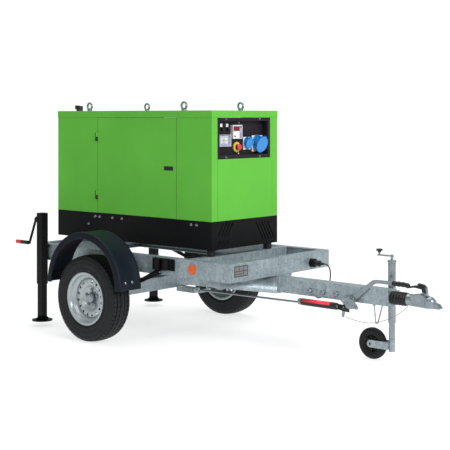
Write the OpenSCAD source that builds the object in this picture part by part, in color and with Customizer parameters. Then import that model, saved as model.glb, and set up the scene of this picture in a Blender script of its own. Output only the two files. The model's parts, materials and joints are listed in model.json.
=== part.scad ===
// Towable diesel generator: a sound-proofed generating set on a single-axle trailer.
// The origin is on the ground under the middle of the whole trailer; +X points to the
// tow hitch, +Y to the left-hand side and +Z up. Inside the modules X is counted from
// the axle, and what is drawn for side -1 is the right-hand side.

/* [Canopy] */
// Length of the canopy
canopy_l = 1560; // [1400:10:1900]
// Width of the canopy
canopy_w = 700; // [640:10:900]
// Height of the roof above the ground
roof_z = 1580; // [1540:10:1800]
// Height of the folded edge of the roof
cap_h = 48; // [35:1:70]
// Height where the green panels start, on top of the black base
panel_z = 836; // [820:1:860]
// Underside of the black base
base_z = 645; // [640:1:660]
// Thickness of the canopy sheet
sheet_t = 3; // [2:0.5:4]
// Width of the gap between neighbouring panels
panel_gap = 3; // [2:0.5:5]
// Depth of the folded flanges behind the panels
lip_w = 18; // [12:1:24]
// Width that a corner panel covers on the end faces
corner_w = 58; // [45:1:75]
// Rear edge of the doors, from the axle
door_x0 = -340; // [-380:5:-300]
// Front edge of the doors, from the axle
door_x1 = 455; // [400:5:500]

/* [Control panel] */
// Lower edge of the panel opening
well_z = 1253; // [1240:1:1270]
// Left end of the panel opening
well_y1 = 268; // [255:1:280]
// Depth of the recess
well_depth = 50; // [40:1:60]
// Width of the bolted flange
well_flange = 22; // [16:1:26]
// Downward tilt of the sockets
socket_tilt = 20; // [10:1:25]

/* [Frame] */
// Width over the side rails
frame_w = 1070; // [1000:10:1200]
// Height of a rail
rail_h = 120; // [100:5:130]
// Underside of the rails
rail_z = 480; // [470:1:490]
// Width of a rail's flanges
rail_d = 50; // [40:1:60]
// Thickness of the rails
rail_t = 4; // [3:0.5:6]
// Front face of the frame, from the axle
frame_x1 = 1097; // [1050:5:1150]
// Rear face of the frame, from the axle
frame_x0 = -800; // [-850:5:-790]

/* [Wheels and axle] */
// Outside diameter of the tyres
tyre_d = 590; // [560:5:620]
// Width of the tyres
tyre_w = 170; // [145:5:185]
// Distance between the tyres' middles
track = 1400; // [1360:10:1480]
// Diameter over the rim's flanges
rim_d = 364; // [350:1:380]
// Side of the axle's square tube
axle_side = 90; // [70:5:100]
// How far the axle tube lies in front of the wheels' centres
axle_lead = 140; // [120:5:160]
// Height of the axle tube's middle
axle_z = 357; // [345:1:365]
// Outside radius of the fenders
fender_r = 370; // [345:5:390]
// Width of the fenders
fender_w = 200; // [180:5:220]

/* [Drawbar and coupling] */
// Side of the drawbar's square tube
bar_side = 98; // [80:2:120]
// Height of the drawbar's middle
bar_z = 420; // [410:1:425]
// Front end of the drawbar, from the axle
bar_x1 = 1964; // [1900:4:2100]
// Wall of the drawbar's tube
bar_t = 5; // [4:0.5:8]
// Diameter of the coupling's shaft
shaft_d = 60; // [50:1:64]
// Diameter of the tow ball
ball_d = 50; // [48:1:52]
// Travel of the overrun coupling
overrun = 80; // [60:5:100]

/* [Jockey wheel] */
// Diameter of the jockey wheel
jockey_d = 200; // [180:5:220]
// Diameter of the jockey's outer tube
jockey_tube_d = 48; // [44:1:60]
// Middle of the jockey's tube, from the axle
jockey_x = 1909; // [1880:5:1920]

/* [Rear jacks] */
// Middle of the jacks, from the axle
jack_x = -687; // [-720:5:-660]
// Side of a jack's outer tube
jack_side = 58; // [50:2:64]
// Height of the jacks' heads
jack_z = 830; // [800:5:832]
// Height of the lifted feet above the ground
foot_z = 40; // [30:5:80]

/* [Hidden] */
$fn = 64;

// Place of the axle along the trailer
axle_x = -660.5;
// Room between a fixed and a moving surface that don't touch
clear = 0.5;
// Radial room of a turning pin
run_fit = 0.05;
// Outer faces
cx = canopy_l / 2;
cy = canopy_w / 2;
fy = frame_w / 2;
rail_z1 = rail_z + rail_h;
wheel_z = tyre_d / 2;
wheel_y = track / 2;
seam_z = roof_z - cap_h;

// ---------- helpers ----------

// Counts X from the axle
module from_axle() { translate([axle_x, 0, 0]) children(); }

// What is drawn on the right-hand side, on the side asked for
module on_side(side) { if (side < 0) children(); else mirror([0, 1, 0]) children(); }

module both_sides() { for (side = [-1, 1]) on_side(side) children(); }

// A block between two corners
module block(low, high) { translate(low) cube(high - low); }

// Round bars along each axis from a start point
module bar_x(p, length, r) { translate(p) rotate([0, 90, 0]) cylinder(h = length, r = r); }
module bar_y(p, length, r) { translate(p) rotate([-90, 0, 0]) cylinder(h = length, r = r); }
module bar_z(p, length, r) { translate(p) cylinder(h = length, r = r); }

// A ring about Z
module ring_z(p, length, r, bore) {
    translate(p) difference() {
        cylinder(h = length, r = r);
        translate([0, 0, -1]) cylinder(h = length + 2, r = bore);
    }
}

// A hexagon-headed bolt's head with its washer, pointing along +Z
module bolt_head(af) {
    cylinder(h = af * 0.12, r = af * 0.75);
    cylinder(h = af * 0.65, r = af / sqrt(3), $fn = 6);
}

// The same on a face that looks to the right (-Y) or to the front (+X)
module bolt_right(p, af) { translate(p) rotate([90, 0, 0]) bolt_head(af); }
module bolt_front(p, af) { translate(p) rotate([0, 90, 0]) bolt_head(af); }

// A straight round bar from one point to another
module strut(a, b, r) {
    d = b - a;
    translate(a) rotate([0, acos(d[2] / norm(d)), atan2(d[1], d[0])]) cylinder(h = norm(d), r = r);
}

// A round bar through a list of points, with ball corners
module bent_bar(points, r) {
    for (i = [0:len(points) - 2]) strut(points[i], points[i + 1], r);
    for (i = [1:len(points) - 2]) translate(points[i]) sphere(r = r * 1.02);
}

// A closed outline in the XZ plane, pushed along Y
module plate_xz(y0, y1, outline) {
    translate([0, y1, 0]) rotate([90, 0, 0]) linear_extrude(y1 - y0) polygon(outline);
}

// A shape turned about an axle along Y: its profile is [radius, y]
module turned_y(p) { translate(p) rotate([-90, 0, 0]) rotate_extrude() children(); }
module turned_x(p) { translate(p) rotate([0, 90, 0]) rotate_extrude() children(); }

// Points on a smooth line through hand-picked points
function mix(a, b, c, d, t) = 0.5 * (2 * b + (c - a) * t
    + (2 * a - 5 * b + 4 * c - d) * t * t + (3 * b - a - 3 * c + d) * t * t * t);
function smooth(p, steps) = concat([for (i = [0:len(p) - 2], k = [0:steps - 1])
    mix(p[max(i - 1, 0)], p[i], p[i + 1], p[min(i + 2, len(p) - 1)], k / steps)],
    [p[len(p) - 1]]);
function unit(v) = v / norm(v);
function tangent(p, i) = unit(p[min(i + 1, len(p) - 1)] - p[max(i - 1, 0)]);
function ring_at(p, i, r, sides, across) =
    let (t = tangent(p, i), a = unit(cross(t, across)), b = cross(a, t))
    [for (k = [0:sides - 1]) p[i] + r * (cos(360 * k / sides) * a + sin(360 * k / sides) * b)];

// A tube with flat sides swept along points
module swept(p, d, across, sides = 8) {
    rings = len(p);
    last = (rings - 1) * sides;
    polyhedron(
        points = [for (i = [0:rings - 1]) each ring_at(p, i, d / 2, sides, across)],
        faces = concat(
            [[for (k = [0:sides - 1]) k], [for (k = [sides - 1:-1:0]) last + k]],
            [for (i = [0:rings - 2], k = [0:sides - 1])
                let (n = (k + 1) % sides)
                [i * sides + k, (i + 1) * sides + k, (i + 1) * sides + n, i * sides + n]]));
}

// ---------- trailer frame ----------

// A channel section, web outwards, lying along X on the right-hand side
module side_rail() {
    translate([frame_x0 + rail_d, 0, 0]) rotate([90, 0, 90])
        linear_extrude(frame_x1 - frame_x0 - 2 * rail_d)
        difference() {
            translate([-fy, rail_z]) square([rail_d, rail_h]);
            translate([-fy + rail_t, rail_z + rail_t])
                square([rail_d, rail_h - 2 * rail_t]);
        }
}

module side_rails() color("lightsteelblue") from_axle() both_sides() side_rail();

// A channel across the frame, with closed ends, web at x0
module cross_rail(x0, way) {
    inner = x0 - way * rail_t;
    far = x0 - way * rail_d;
    difference() {
        block([min(x0, far), -fy, rail_z], [max(x0, far), fy, rail_z1]);
        block([min(inner, far - way), -fy + rail_t, rail_z + rail_t],
            [max(inner, far - way), fy - rail_t, rail_z1 - rail_t]);
    }
}

bearer_x = 729;
bearer_w = 60;
bearer_z1 = 600;
rear_bearer_x = -640;
module bearer(x) {
    difference() {
        block([x - bearer_w / 2, -fy + rail_d, bearer_z1 - 60],
            [x + bearer_w / 2, fy - rail_d, bearer_z1]);
        block([x - bearer_w / 2 + 4, -fy, bearer_z1 - 56], [x + bearer_w / 2 - 4, fy, bearer_z1 - 4]);
    }
}

module cross_rails() color("lightsteelblue") from_axle() {
    cross_rail(frame_x1, 1);
    cross_rail(frame_x0, -1);
    bearer(bearer_x);
    bearer(rear_bearer_x);
}

// Rubber blocks between the frame's bearers and the canopy's base
module rubber_feet() color("dimgray") from_axle() {
    for (x = [bearer_x, rear_bearer_x], y = [-1, 1] * (cy - 50)) bar_z([x, y, bearer_z1],
        base_z - bearer_z1, 30);
}

// Two sloping arms from the side rails to the sleeve around the drawbar
sleeve_x0 = 1050;
sleeve_x1 = 1117;
sleeve_wall = 6;
sleeve_y = bar_side / 2 + sleeve_wall;
arm_x = 770;
arm_y = fy - 25;
arm_t = 46;
module drawbar_arm() {
    run = norm([sleeve_x0 + 22 - arm_x, arm_y - sleeve_y]);
    turn = atan2(arm_y - sleeve_y, sleeve_x0 + 22 - arm_x);
    difference() {
        translate([arm_x, -arm_y, 0]) rotate([0, 0, turn]) translate([0, arm_t / 2, 0])
            rotate([90, 0, 0]) linear_extrude(arm_t)
            polygon([[-60, rail_z], [-60, rail_z - 36], [run * 0.25, rail_z - 64],
                [run + 40, bar_z - bar_side / 2 - 14], [run + 40, rail_z]]);
        block([sleeve_x0 - 300, -sleeve_y, 0], [sleeve_x1 + 300, sleeve_y, 1000]);
        block([0, -1000, 0], [2000, -fy, 1000]);
    }
}

module drawbar_arms() color("lightslategray") from_axle() {
    both_sides() drawbar_arm();
    // sleeve, bolted under the front rail
    difference() {
        block([sleeve_x0, -sleeve_y, bar_z - bar_side / 2 - sleeve_wall],
            [sleeve_x1, sleeve_y, rail_z]);
        block([sleeve_x0 - 1, -bar_side / 2, bar_z - bar_side / 2],
            [sleeve_x1 + 1, bar_side / 2, bar_z + bar_side / 2]);
    }
}

bar_x0 = 1030;
bush_l = 30;
ear_t = 8;
lever_pin = [1682, -bar_side / 2 - 2 * ear_t, 365];
module drawbar_tube() color("lightsteelblue") from_axle() {
    inner = bar_side / 2 - bar_t;
    ear_z = bar_z - 20;
    difference() {
        block([bar_x0, -bar_side / 2, bar_z - bar_side / 2],
            [bar_x1, bar_side / 2, bar_z + bar_side / 2]);
        block([bar_x0 - 1, -inner, bar_z - inner], [bar_x1 - bush_l, inner, bar_z + inner]);
        bar_x([bar_x1 - bush_l - 1, 0, bar_z], bush_l + 2, shaft_d / 2 + run_fit);
    }
    // bolts through the side
    for (x = [1368, 1474, 1578]) bolt_right([x, -bar_side / 2, bar_z - 14], 19);
    // ears that carry the handbrake lever, and its pin
    for (y = [-bar_side / 2 - ear_t, -bar_side / 2 - 4 * ear_t]) difference() {
        plate_xz(y, y + ear_t, [[1640, ear_z - 32], [1662, 342], [1702, 342], [1730, ear_z - 20],
            [1730, ear_z], [1640, ear_z]]);
        bar_y([lever_pin[0], y - 1, lever_pin[2]], ear_t + 2, 8 + run_fit);
    }
    block([1640, -bar_side / 2 - 3 * ear_t, ear_z - 32], [1648, -bar_side / 2 - ear_t, ear_z]);
}

// ---------- axle, wheels and fenders ----------

hub_y = wheel_y - 85;
axle_end = hub_y - 62;
bolt_r = 56;
module axle_beam() color("lightslategray") from_axle() {
    h = axle_side / 2;
    difference() {
        block([axle_lead - h, -axle_end, axle_z - h], [axle_lead + h, axle_end, axle_z + h]);
        block([axle_lead - h + 6, -axle_end - 1, axle_z - h + 6],
            [axle_lead + h - 6, axle_end + 1, axle_z + h - 6]);
    }
    both_sides() {
        // pad between the beam and the side rail
        block([axle_lead - 75, -fy + 8, axle_z + h], [axle_lead + 75, -fy + 14, rail_z]);
        block([axle_lead - 75, -fy + 36, axle_z + h], [axle_lead + 75, -fy + 42, rail_z]);
        // trailing arm, end cap and stub axle
        plate_xz(-axle_end - 42, -axle_end, [[axle_lead + 40, axle_z + 30],
            [axle_lead + 40, axle_z - 34], [10, wheel_z - 36], [-36, wheel_z - 26],
            [-36, wheel_z + 30], [axle_lead - 40, axle_z + 36]]);
        bar_y([0, -wheel_y - 4, wheel_z], wheel_y + 4 - axle_end - 40, 20 - run_fit);
        // back plate of the brake
        bar_y([0, -hub_y, wheel_z], 5, 104);
    }
    // bracket of the brake compensator
    plate_xz(-30, -24, [[152, axle_z - h], [152, 278], [326, 278], [326, 312],
        [230, axle_z - h]]);
    plate_xz(24, 30, [[152, axle_z - h], [152, 278], [326, 278], [326, 312],
        [230, axle_z - h]]);
    difference() {
        block([320, -24, 278], [326, 24, 312]);
        bar_x([310, 0, 302], 30, 8);
    }
}

// Half of a tyre's section with a rounded tread and side walls
module tyre_section(r0, r1, half, corner) {
    for (x = [-1, 1]) translate([r1 - corner, x * (half - corner)]) circle(r = corner);
    translate([r0, -half + corner]) square([r1 - r0, 2 * (half - corner)]);
    translate([r0, -half]) square([r1 - corner - r0, 2 * half]);
}

seat_r = 165;
seat_half = tyre_w / 2 - 14;
module tyre() turned_y([0, -wheel_y, wheel_z]) difference() {
    tyre_section(seat_r, tyre_d / 2, tyre_w / 2, 30);
    tyre_section(seat_r - 1, tyre_d / 2 - 14, seat_half - 8, 20);
    // the beads sit between the rim's flanges
    for (way = [-1, 1]) translate([seat_r - 1, way > 0 ? seat_half : -tyre_w])
        square([rim_d / 2 - seat_r + 5, tyre_w - seat_half]);
}

module tyre_right() color("#222326") from_axle() on_side(-1) tyre();
module tyre_left() color("#222326") from_axle() on_side(1) tyre();

// Steel rim with its disc, brake drum, hub cap and five wheel bolts
vent_count = 16;
vent_r = 114;
module rim() {
    flange_r = rim_d / 2;
    half = seat_half;
    well_r = 140;
    difference() {
        turned_y([0, -wheel_y, wheel_z]) {
            polygon([[seat_r, -half], [flange_r, -half - 2], [flange_r, -half - 7],
                [seat_r - 4, -half - 7], [seat_r - 4, -47], [well_r - 4, -33],
                [well_r - 4, 37], [seat_r - 4, 53], [seat_r - 4, half + 7],
                [flange_r, half + 7], [flange_r, half + 2], [seat_r, half], [seat_r, 50],
                [well_r, 34], [well_r, -30], [seat_r, -44]]);
            // dished disc
            polygon([[38, -8], [70, -8], [88, -18], [112, -18], [well_r - 3, 4], [well_r - 3, 12],
                [108, -12], [90, -12], [72, -2], [38, -2]]);
        }
        for (i = [0:vent_count - 1]) translate([0, -wheel_y, wheel_z])
            rotate([0, 360 * (i + 0.5) / vent_count, 0]) bar_y([0, -40, vent_r], 50, 9);
    }
    // hub and brake drum behind the disc
    difference() {
        union() {
            bar_y([0, -wheel_y - 2, wheel_z], 30, 68);
            bar_y([0, -wheel_y + 20, wheel_z], wheel_y - 20 - hub_y - 6, 108);
        }
        bar_y([0, -wheel_y - 30, wheel_z], 200, 20);
    }
    // hub cap
    difference() {
        bar_y([0, -wheel_y - 36, wheel_z], 34, 34);
        bar_y([0, -wheel_y - 31, wheel_z], 60, 30);
    }
    for (i = [0:4]) translate([0, -wheel_y - 8, wheel_z]) rotate([0, 72 * i, 0])
        translate([0, 0, bolt_r]) rotate([90, 0, 0]) bolt_head(17);
}

module rim_right() color("silver") from_axle() on_side(-1) rim();
module rim_left() color("silver") from_axle() on_side(1) rim();

// Half-round plastic fender on two flat stays
fender_z = 382;
fender_t = 5;
stay_foot = 474;
module fender() {
    translate([0, -wheel_y, fender_z]) rotate([90, 0, 0]) rotate_extrude(angle = 180)
        difference() {
            translate([fender_r - 26, -fender_w / 2]) square([26, fender_w]);
            translate([0, -fender_w / 2 - 1])
                square([fender_r - fender_t, fender_w - fender_t + 1]);
        }
}
module fender_stay(way) {
    inner = fender_r - fender_t;
    top = 68;
    foot = way * stay_foot;
    grip = way * (sqrt(inner * inner - top * top) - 0.3);
    edge = -wheel_y + fender_w / 2 + 10;
    block([min(grip, grip - way * 5), -wheel_y - 60, fender_z + top - 30],
        [max(grip, grip - way * 5), edge, fender_z + top]);
    hull() {
        block([min(grip, grip - way * 5), edge - 9, fender_z + top - 30],
            [max(grip, grip - way * 5), edge, fender_z + top]);
        block([foot - 22, -fy - 5, rail_z + 6], [foot + 22, -fy, rail_z + 34]);
    }
    for (x = [-12, 12]) bolt_right([foot + x, -fy - 5, rail_z + 20], 13);
}
module fenders() color("#1d2733") from_axle() both_sides() {
    fender();
    for (way = [-1, 1]) fender_stay(way);
}

// ---------- rear jacks ----------

jack_y = fy + 16 + jack_side / 2;
leg_side = jack_side - 9;
crank_z = jack_z - 50;
jack_wall = (jack_side - leg_side) / 2 - clear;
module jack_sleeve() {
    o = jack_side / 2;
    i = o - jack_wall;
    difference() {
        block([jack_x - o, -jack_y - o, 309], [jack_x + o, -jack_y + o, jack_z]);
        block([jack_x - i, -jack_y - i, 308], [jack_x + i, -jack_y + i, jack_z - 6]);
        bar_x([jack_x - o - 1, -jack_y, crank_z], jack_wall + 2, 11 + run_fit);
    }
    // gear boss round the crank's shaft
    difference() {
        bar_x([jack_x - o - 34, -jack_y, crank_z], 34, 22);
        bar_x([jack_x - o - 35, -jack_y, crank_z], 40, 11 + run_fit);
    }
    // ears welded to the side rail
    for (z = [rail_z + 8, rail_z1 - 20])
        block([jack_x - 34, -jack_y + o, z], [jack_x + 34, -fy, z + 12]);
}
module jack_sleeves() color("lightsteelblue") from_axle() both_sides() jack_sleeve();

module jack_leg() {
    o = leg_side / 2;
    difference() {
        block([jack_x - o, -jack_y - o, foot_z + 8], [jack_x + o, -jack_y + o, crank_z - 40]);
        block([jack_x - o + 4, -jack_y - o + 4, foot_z + 20],
            [jack_x + o - 4, -jack_y + o - 4, jack_z]);
    }
    bar_z([jack_x, -jack_y, foot_z], 8, 75);
    for (i = [0:3]) rotate_about([jack_x, -jack_y, 0], 90 * i)
        plate_xz(-3, 3, [[o - 1, foot_z + 7], [60, foot_z + 7], [60, foot_z + 12],
            [o - 1, foot_z + 42]]);
}
module rotate_about(p, angle) { translate(p) rotate([0, 0, angle]) children(); }
module jack_leg_right() color("#26282a") from_axle() on_side(-1) jack_leg();
module jack_leg_left() color("#26282a") from_axle() on_side(1) jack_leg();

module jack_crank() {
    top = [jack_x - jack_side / 2 - 44, -jack_y, crank_z];
    bend = [top[0] - 74, -jack_y, crank_z - 181];
    bar_x([top[0] - 6, -jack_y, crank_z], 52, 11);
    strut(top, bend, 9);
    translate(bend) sphere(r = 9.4);
    strut(bend, bend + [-150, 0, 0], 7);
    // grip sleeve
    bar_x(bend + [-148, 0, 0], 130, 14);
}
module jack_crank_right() color("silver") from_axle() on_side(-1) jack_crank();
module jack_crank_left() color("silver") from_axle() on_side(1) jack_crank();

// ---------- base and canopy ----------

// A louvre slot in an end wall, sloping by the angle given
module louvre(y, z, length, angle) {
    translate([cx - 10, y, z]) rotate([angle, 0, 0]) block([0, -length / 2, -4], [20, length / 2, 4]);
}

base_t = 4;
base_lip = 40;
module base_side() {
    difference() {
        block([-cx, -cy, base_z], [cx, -cy + base_lip, panel_z]);
        block([-cx + base_t, -cy + base_t, base_z + base_t],
            [cx - base_t, -cy + base_lip + 1, panel_z - base_t]);
    }
    for (x = [-364, -316, -180, -82, 593, 643]) bolt_right([x, -cy, 808], 13);
    bolt_right([-436, -cy, 750], 13);
}
module base_end(x) {
    block([x, -cy + base_lip, base_z], [x + base_t, cy - base_lip, panel_z]);
}
module base_shell() color("#17181a") from_axle() {
    both_sides() base_side();
    base_end(-cx);
    difference() {
        base_end(cx - base_t);
        for (i = [0:3]) louvre(-255 + 32 * i, 780, 104, 58);
        for (i = [0:4]) louvre(152 + 31 * i, 742, 150, -58);
        for (i = [0:3]) louvre(-278 + 30 * i, 684, 46, 58);
    }
    // bearers of the engine and the alternator
    for (x = [-440, -60, 400])
        block([x - 25, -cy + base_lip, 800], [x + 25, cy - base_lip, panel_z - base_t]);
}

tank_z1 = 792;
module fuel_tank() color("#202225") from_axle() {
    difference() {
        block([-560, -cy + base_t + 2, base_z + base_t], [560, cy - base_t - 2, tank_z1]);
        block([-556, -cy + base_t + 6, base_z + base_t + 4], [556, cy - base_t - 6, tank_z1 - 4]);
    }
    // filler neck and its cap, inside the right-hand door
    bar_z([520, -cy + 90, tank_z1], 90, 26);
    bar_z([520, -cy + 90, tank_z1 + 90], 22, 36);
}

exhaust_x = -706;
exhaust_y = -200;
exhaust_r = 25;
eye_x = 480;
eye_y = 300;
eye_bore = 17.5;
eye_hole = 8.1;
roof_over = 2;
module canopy_roof() color("#5fb33a") from_axle() {
    difference() {
        block([-cx - roof_over, -cy - roof_over, seam_z], [cx + roof_over, cy + roof_over, roof_z]);
        block([-cx - roof_over + sheet_t, -cy - roof_over + sheet_t, seam_z - 1],
            [cx + roof_over - sheet_t, cy + roof_over - sheet_t, roof_z - sheet_t]);
        bar_z([exhaust_x, exhaust_y, seam_z], 100, exhaust_r + 5);
        for (x = [-1, 1] * eye_x, y = [-1, 1] * eye_y) bar_z([x, y, seam_z], 100, eye_hole);
    }
    // beams under the roof that carry the lifting eyes
    for (x = [-1, 1] * eye_x) difference() {
        block([x - 30, -cy + 4, roof_z - sheet_t - 38], [x + 30, cy - 4, roof_z - sheet_t]);
        block([x - 26, -cy + 3, roof_z - sheet_t - 39], [x + 26, cy - 3, roof_z - sheet_t - 4]);
        for (y = [-1, 1] * eye_y) bar_z([x, y, seam_z], 100, eye_hole);
    }
}

// A folded sheet round one corner of the canopy: way 1 is the front, -1 the rear
module corner_panel(way) {
    edge = (way > 0 ? door_x1 : -door_x0) + panel_gap / 2;
    mirror([way < 0 ? 1 : 0, 0, 0]) {
        block([edge, -cy, panel_z], [cx, -cy + sheet_t, seam_z]);
        block([cx - sheet_t, -cy, panel_z], [cx, -cy + corner_w, seam_z]);
        block([edge, -cy, panel_z], [edge + sheet_t, -cy + lip_w, seam_z]);
        block([edge, -cy, seam_z - sheet_t], [cx, -cy + lip_w, seam_z]);
    }
}
module corner_panels() color("#5fb33a") from_axle() both_sides() {
    corner_panel(1);
    corner_panel(-1);
}

end_y = cy - corner_w - panel_gap / 2;
module front_panel() color("#72cc4c") from_axle() {
    top = well_z - panel_gap / 2;
    block([cx - sheet_t, -end_y, panel_z], [cx, end_y, top]);
    block([cx - sheet_t, well_y1 + panel_gap / 2, top - 1], [cx, end_y, seam_z]);
    for (y = [-end_y, end_y - sheet_t]) block([cx - lip_w, y, panel_z], [cx, y + sheet_t, top]);
    block([cx - lip_w, -end_y, top - sheet_t], [cx, end_y, top]);
}

grille_z0 = 900;
grille_rows = 15;
module rear_panel() color("#5fb33a") from_axle() {
    difference() {
        block([-cx, -end_y, panel_z], [-cx + sheet_t, end_y, seam_z]);
        for (i = [0:grille_rows - 1], y = [-245, 10])
            block([-cx - 5, y, grille_z0 + 32 * i], [-cx + 5, y + 235, grille_z0 + 32 * i + 16]);
    }
    // louvre blades above each slot
    for (i = [0:grille_rows - 1], y = [-245, 10]) translate([-cx, 0, grille_z0 + 32 * i + 16])
        plate_xz(y, y + 235, [[0, 0], [0, 3], [-12, -10], [-12, -13]]);
    for (y = [-end_y, end_y - sheet_t])
        block([-cx, y, panel_z], [-cx + lip_w, y + sheet_t, seam_z]);
}

// ---------- doors ----------

door_g = panel_gap / 2;
hinge_z = [966, 1391];
hinge_h = 61;
hinge_leaf = 19;
hinge_r = 7;
hinge_pin_r = 3;
hinge_y = cy + hinge_r + 1;
latch_x = 379;
latch_z = 1181;
latch_w = 96;
latch_h = 34;
module door() {
    x0 = door_x0 + door_g;
    x1 = door_x1 - door_g;
    z0 = panel_z + door_g;
    z1 = seam_z - door_g;
    difference() {
        union() {
            block([x0, -cy, z0], [x1, -cy + sheet_t, z1]);
            for (x = [x0, x1 - sheet_t]) block([x, -cy, z0], [x + sheet_t, -cy + lip_w, z1]);
            for (z = [z0, z1 - sheet_t - 5]) block([x0, -cy, z], [x1, -cy + lip_w, z + sheet_t]);
        }
        block([latch_x - latch_w / 2, -cy - 1, latch_z - latch_h / 2],
            [latch_x + latch_w / 2, -cy + lip_w - 1, latch_z + latch_h / 2]);
    }
    // cup of the latch
    difference() {
        block([latch_x - latch_w / 2, -cy, latch_z - latch_h / 2],
            [latch_x + latch_w / 2, -cy + lip_w, latch_z + latch_h / 2]);
        block([latch_x - latch_w / 2 + 2.5, -cy - 1, latch_z - latch_h / 2 + 2.5],
            [latch_x + latch_w / 2 - 2.5, -cy + lip_w - 3, latch_z + latch_h / 2 - 2.5]);
        bar_x([latch_x - latch_w / 2 - 1, -cy + 7, latch_z + latch_h / 2 - 8], latch_w + 2,
            2.5 + run_fit);
    }
    // moving leaves of the hinges
    for (z = hinge_z) {
        difference() {
            union() {
                block([x0 + 1, -cy - 4, z - hinge_h / 2], [x0 + 1 + hinge_leaf, -cy, z + hinge_h / 2]);
                block([door_x0 + 1, -hinge_y, z + clear], [x0 + 2, -cy, z + hinge_h / 2]);
                bar_z([door_x0, -hinge_y, z + clear], hinge_h / 2 - clear, hinge_r);
            }
            bar_z([door_x0, -hinge_y, z - hinge_h], 2 * hinge_h, hinge_pin_r + run_fit);
            block([door_x0 - 10, -hinge_y - hinge_r - 1, z - hinge_h / 2 - 1],
                [door_x0 + hinge_r + clear, -cy + 0.01, z + clear]);
        }
    }
}
module door_right() color("#5fb33a") from_axle() on_side(-1) door();
module door_left() color("#5fb33a") from_axle() on_side(1) door();

// Flap of a door latch, hung on a pin along its upper edge
module latch() {
    z = latch_z + latch_h / 2 - 8;
    bar_x([latch_x - latch_w / 2 + 0.5, -cy + 7, z], latch_w - 1, 2.5);
    block([latch_x - latch_w / 2 + 4, -cy + 4.5, latch_z - latch_h / 2 + 5],
        [latch_x + latch_w / 2 - 4, -cy + 9.5, z]);
}
module latch_right() color("#1b1c1e") from_axle() on_side(-1) latch();
module latch_left() color("#1b1c1e") from_axle() on_side(1) latch();

// Fixed leaves of the door hinges, with their pins
module door_hinges() color("#1b1c1e") from_axle() both_sides() for (z = hinge_z) {
    x1 = door_x0 - door_g;
    difference() {
        block([x1 - 1 - hinge_leaf, -cy - 4, z - hinge_h / 2], [x1 - 1, -cy, z + hinge_h / 2]);
        block([door_x0 - hinge_r - clear, -cy - 5, z - 0.01], [x1, -cy + 1, z + hinge_h]);
    }
    block([x1 - 2, -hinge_y, z - hinge_h / 2], [door_x0 - 1, -cy, z]);
    bar_z([door_x0, -hinge_y, z - hinge_h / 2], hinge_h / 2, hinge_r);
    bar_z([door_x0, -hinge_y, z - 1], hinge_h / 2 + 1, hinge_pin_r);
}

// ---------- control panel ----------

well_t = 3;
well_y0 = -end_y;
back_x = cx - sheet_t - well_depth;
module control_panel() color("#1c1a20") from_axle() {
    y0 = well_y0;
    y1 = well_y1 - panel_gap / 2;
    z0 = well_z + panel_gap / 2;
    z1 = seam_z - panel_gap / 2;
    f = well_flange;
    difference() {
        union() {
            block([cx - sheet_t - well_t, y0, z0], [cx - sheet_t, y1, z1]);
            // tabs behind the neighbouring panels
            block([cx - sheet_t - well_t, y0 - 12, z0 + 20], [cx - sheet_t, y1 + 12, z1 - 20]);
            block([back_x - well_t, y0 + f - well_t, z0 + f - well_t],
                [cx - sheet_t, y1 - f + well_t, z1 - f + well_t]);
        }
        block([back_x, y0 + f, z0 + f], [cx + 1, y1 - f, z1 - f]);
        bar_x([back_x - 10, stop_y, stop_z], 20, 12);
    }
    for (y = [-202, 156], z = [z0 + f / 2 - 3, z1 - f / 2 + 3]) bolt_front([cx - sheet_t, y, z], 10);
}

stop_y = -39;
stop_z = 1329;
breaker = [[back_x, -266, 1335], [back_x + 38, -132, 1417]];
breaker_w = breaker[1][1] - breaker[0][1];
lever_y = -199;
lever_z = 1376;
small_socket = [71, 1353, 75, 87];
large_socket = [183, 1351, 112, 112];
socket_rise = 9;
small_lid_r = 39;
large_lid_r = 58;
// A socket: plate, sloping housing and hinge ears; s is [y, z, width, height]
module socket(s, r, reach) {
    block([back_x, s[0] - s[2] / 2, s[1] - s[3] / 2], [back_x + 4, s[0] + s[2] / 2, s[1] + s[3] / 2]);
    difference() {
        on_socket(s) {
            bar_x([-20, 0, 0], reach + 20, r);
            for (y = [-r * 0.5 - 5, r * 0.5]) difference() {
                block([reach - 12, y, 0], [reach, y + 5, r + 8]);
                bar_y([reach - 4, y - 1, r + 5], 8, 2 + run_fit);
            }
        }
        block([0, -cy, 0], [back_x, cy, roof_z]);
        on_socket(s) bar_x([reach - 18, 0, 0], 60, r - 5);
    }
}
module on_socket(s) {
    translate([back_x, s[0], s[1] + socket_rise]) rotate([0, socket_tilt, 0]) children();
}
module socket_lid(s, r, lid_r, reach) {
    on_socket(s) {
        bar_x([reach + clear, 0, 0], 11, lid_r);
        block([reach - 6, -r * 0.5 + clear, r + 2], [reach + 11, r * 0.5 - clear, r + 8]);
        bar_y([reach - 4, -r * 0.5 - 4, r + 5], r + 8, 2);
    }
}
small_r = 34;
large_r = 50;
small_reach = 24;
large_reach = 46;

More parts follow.
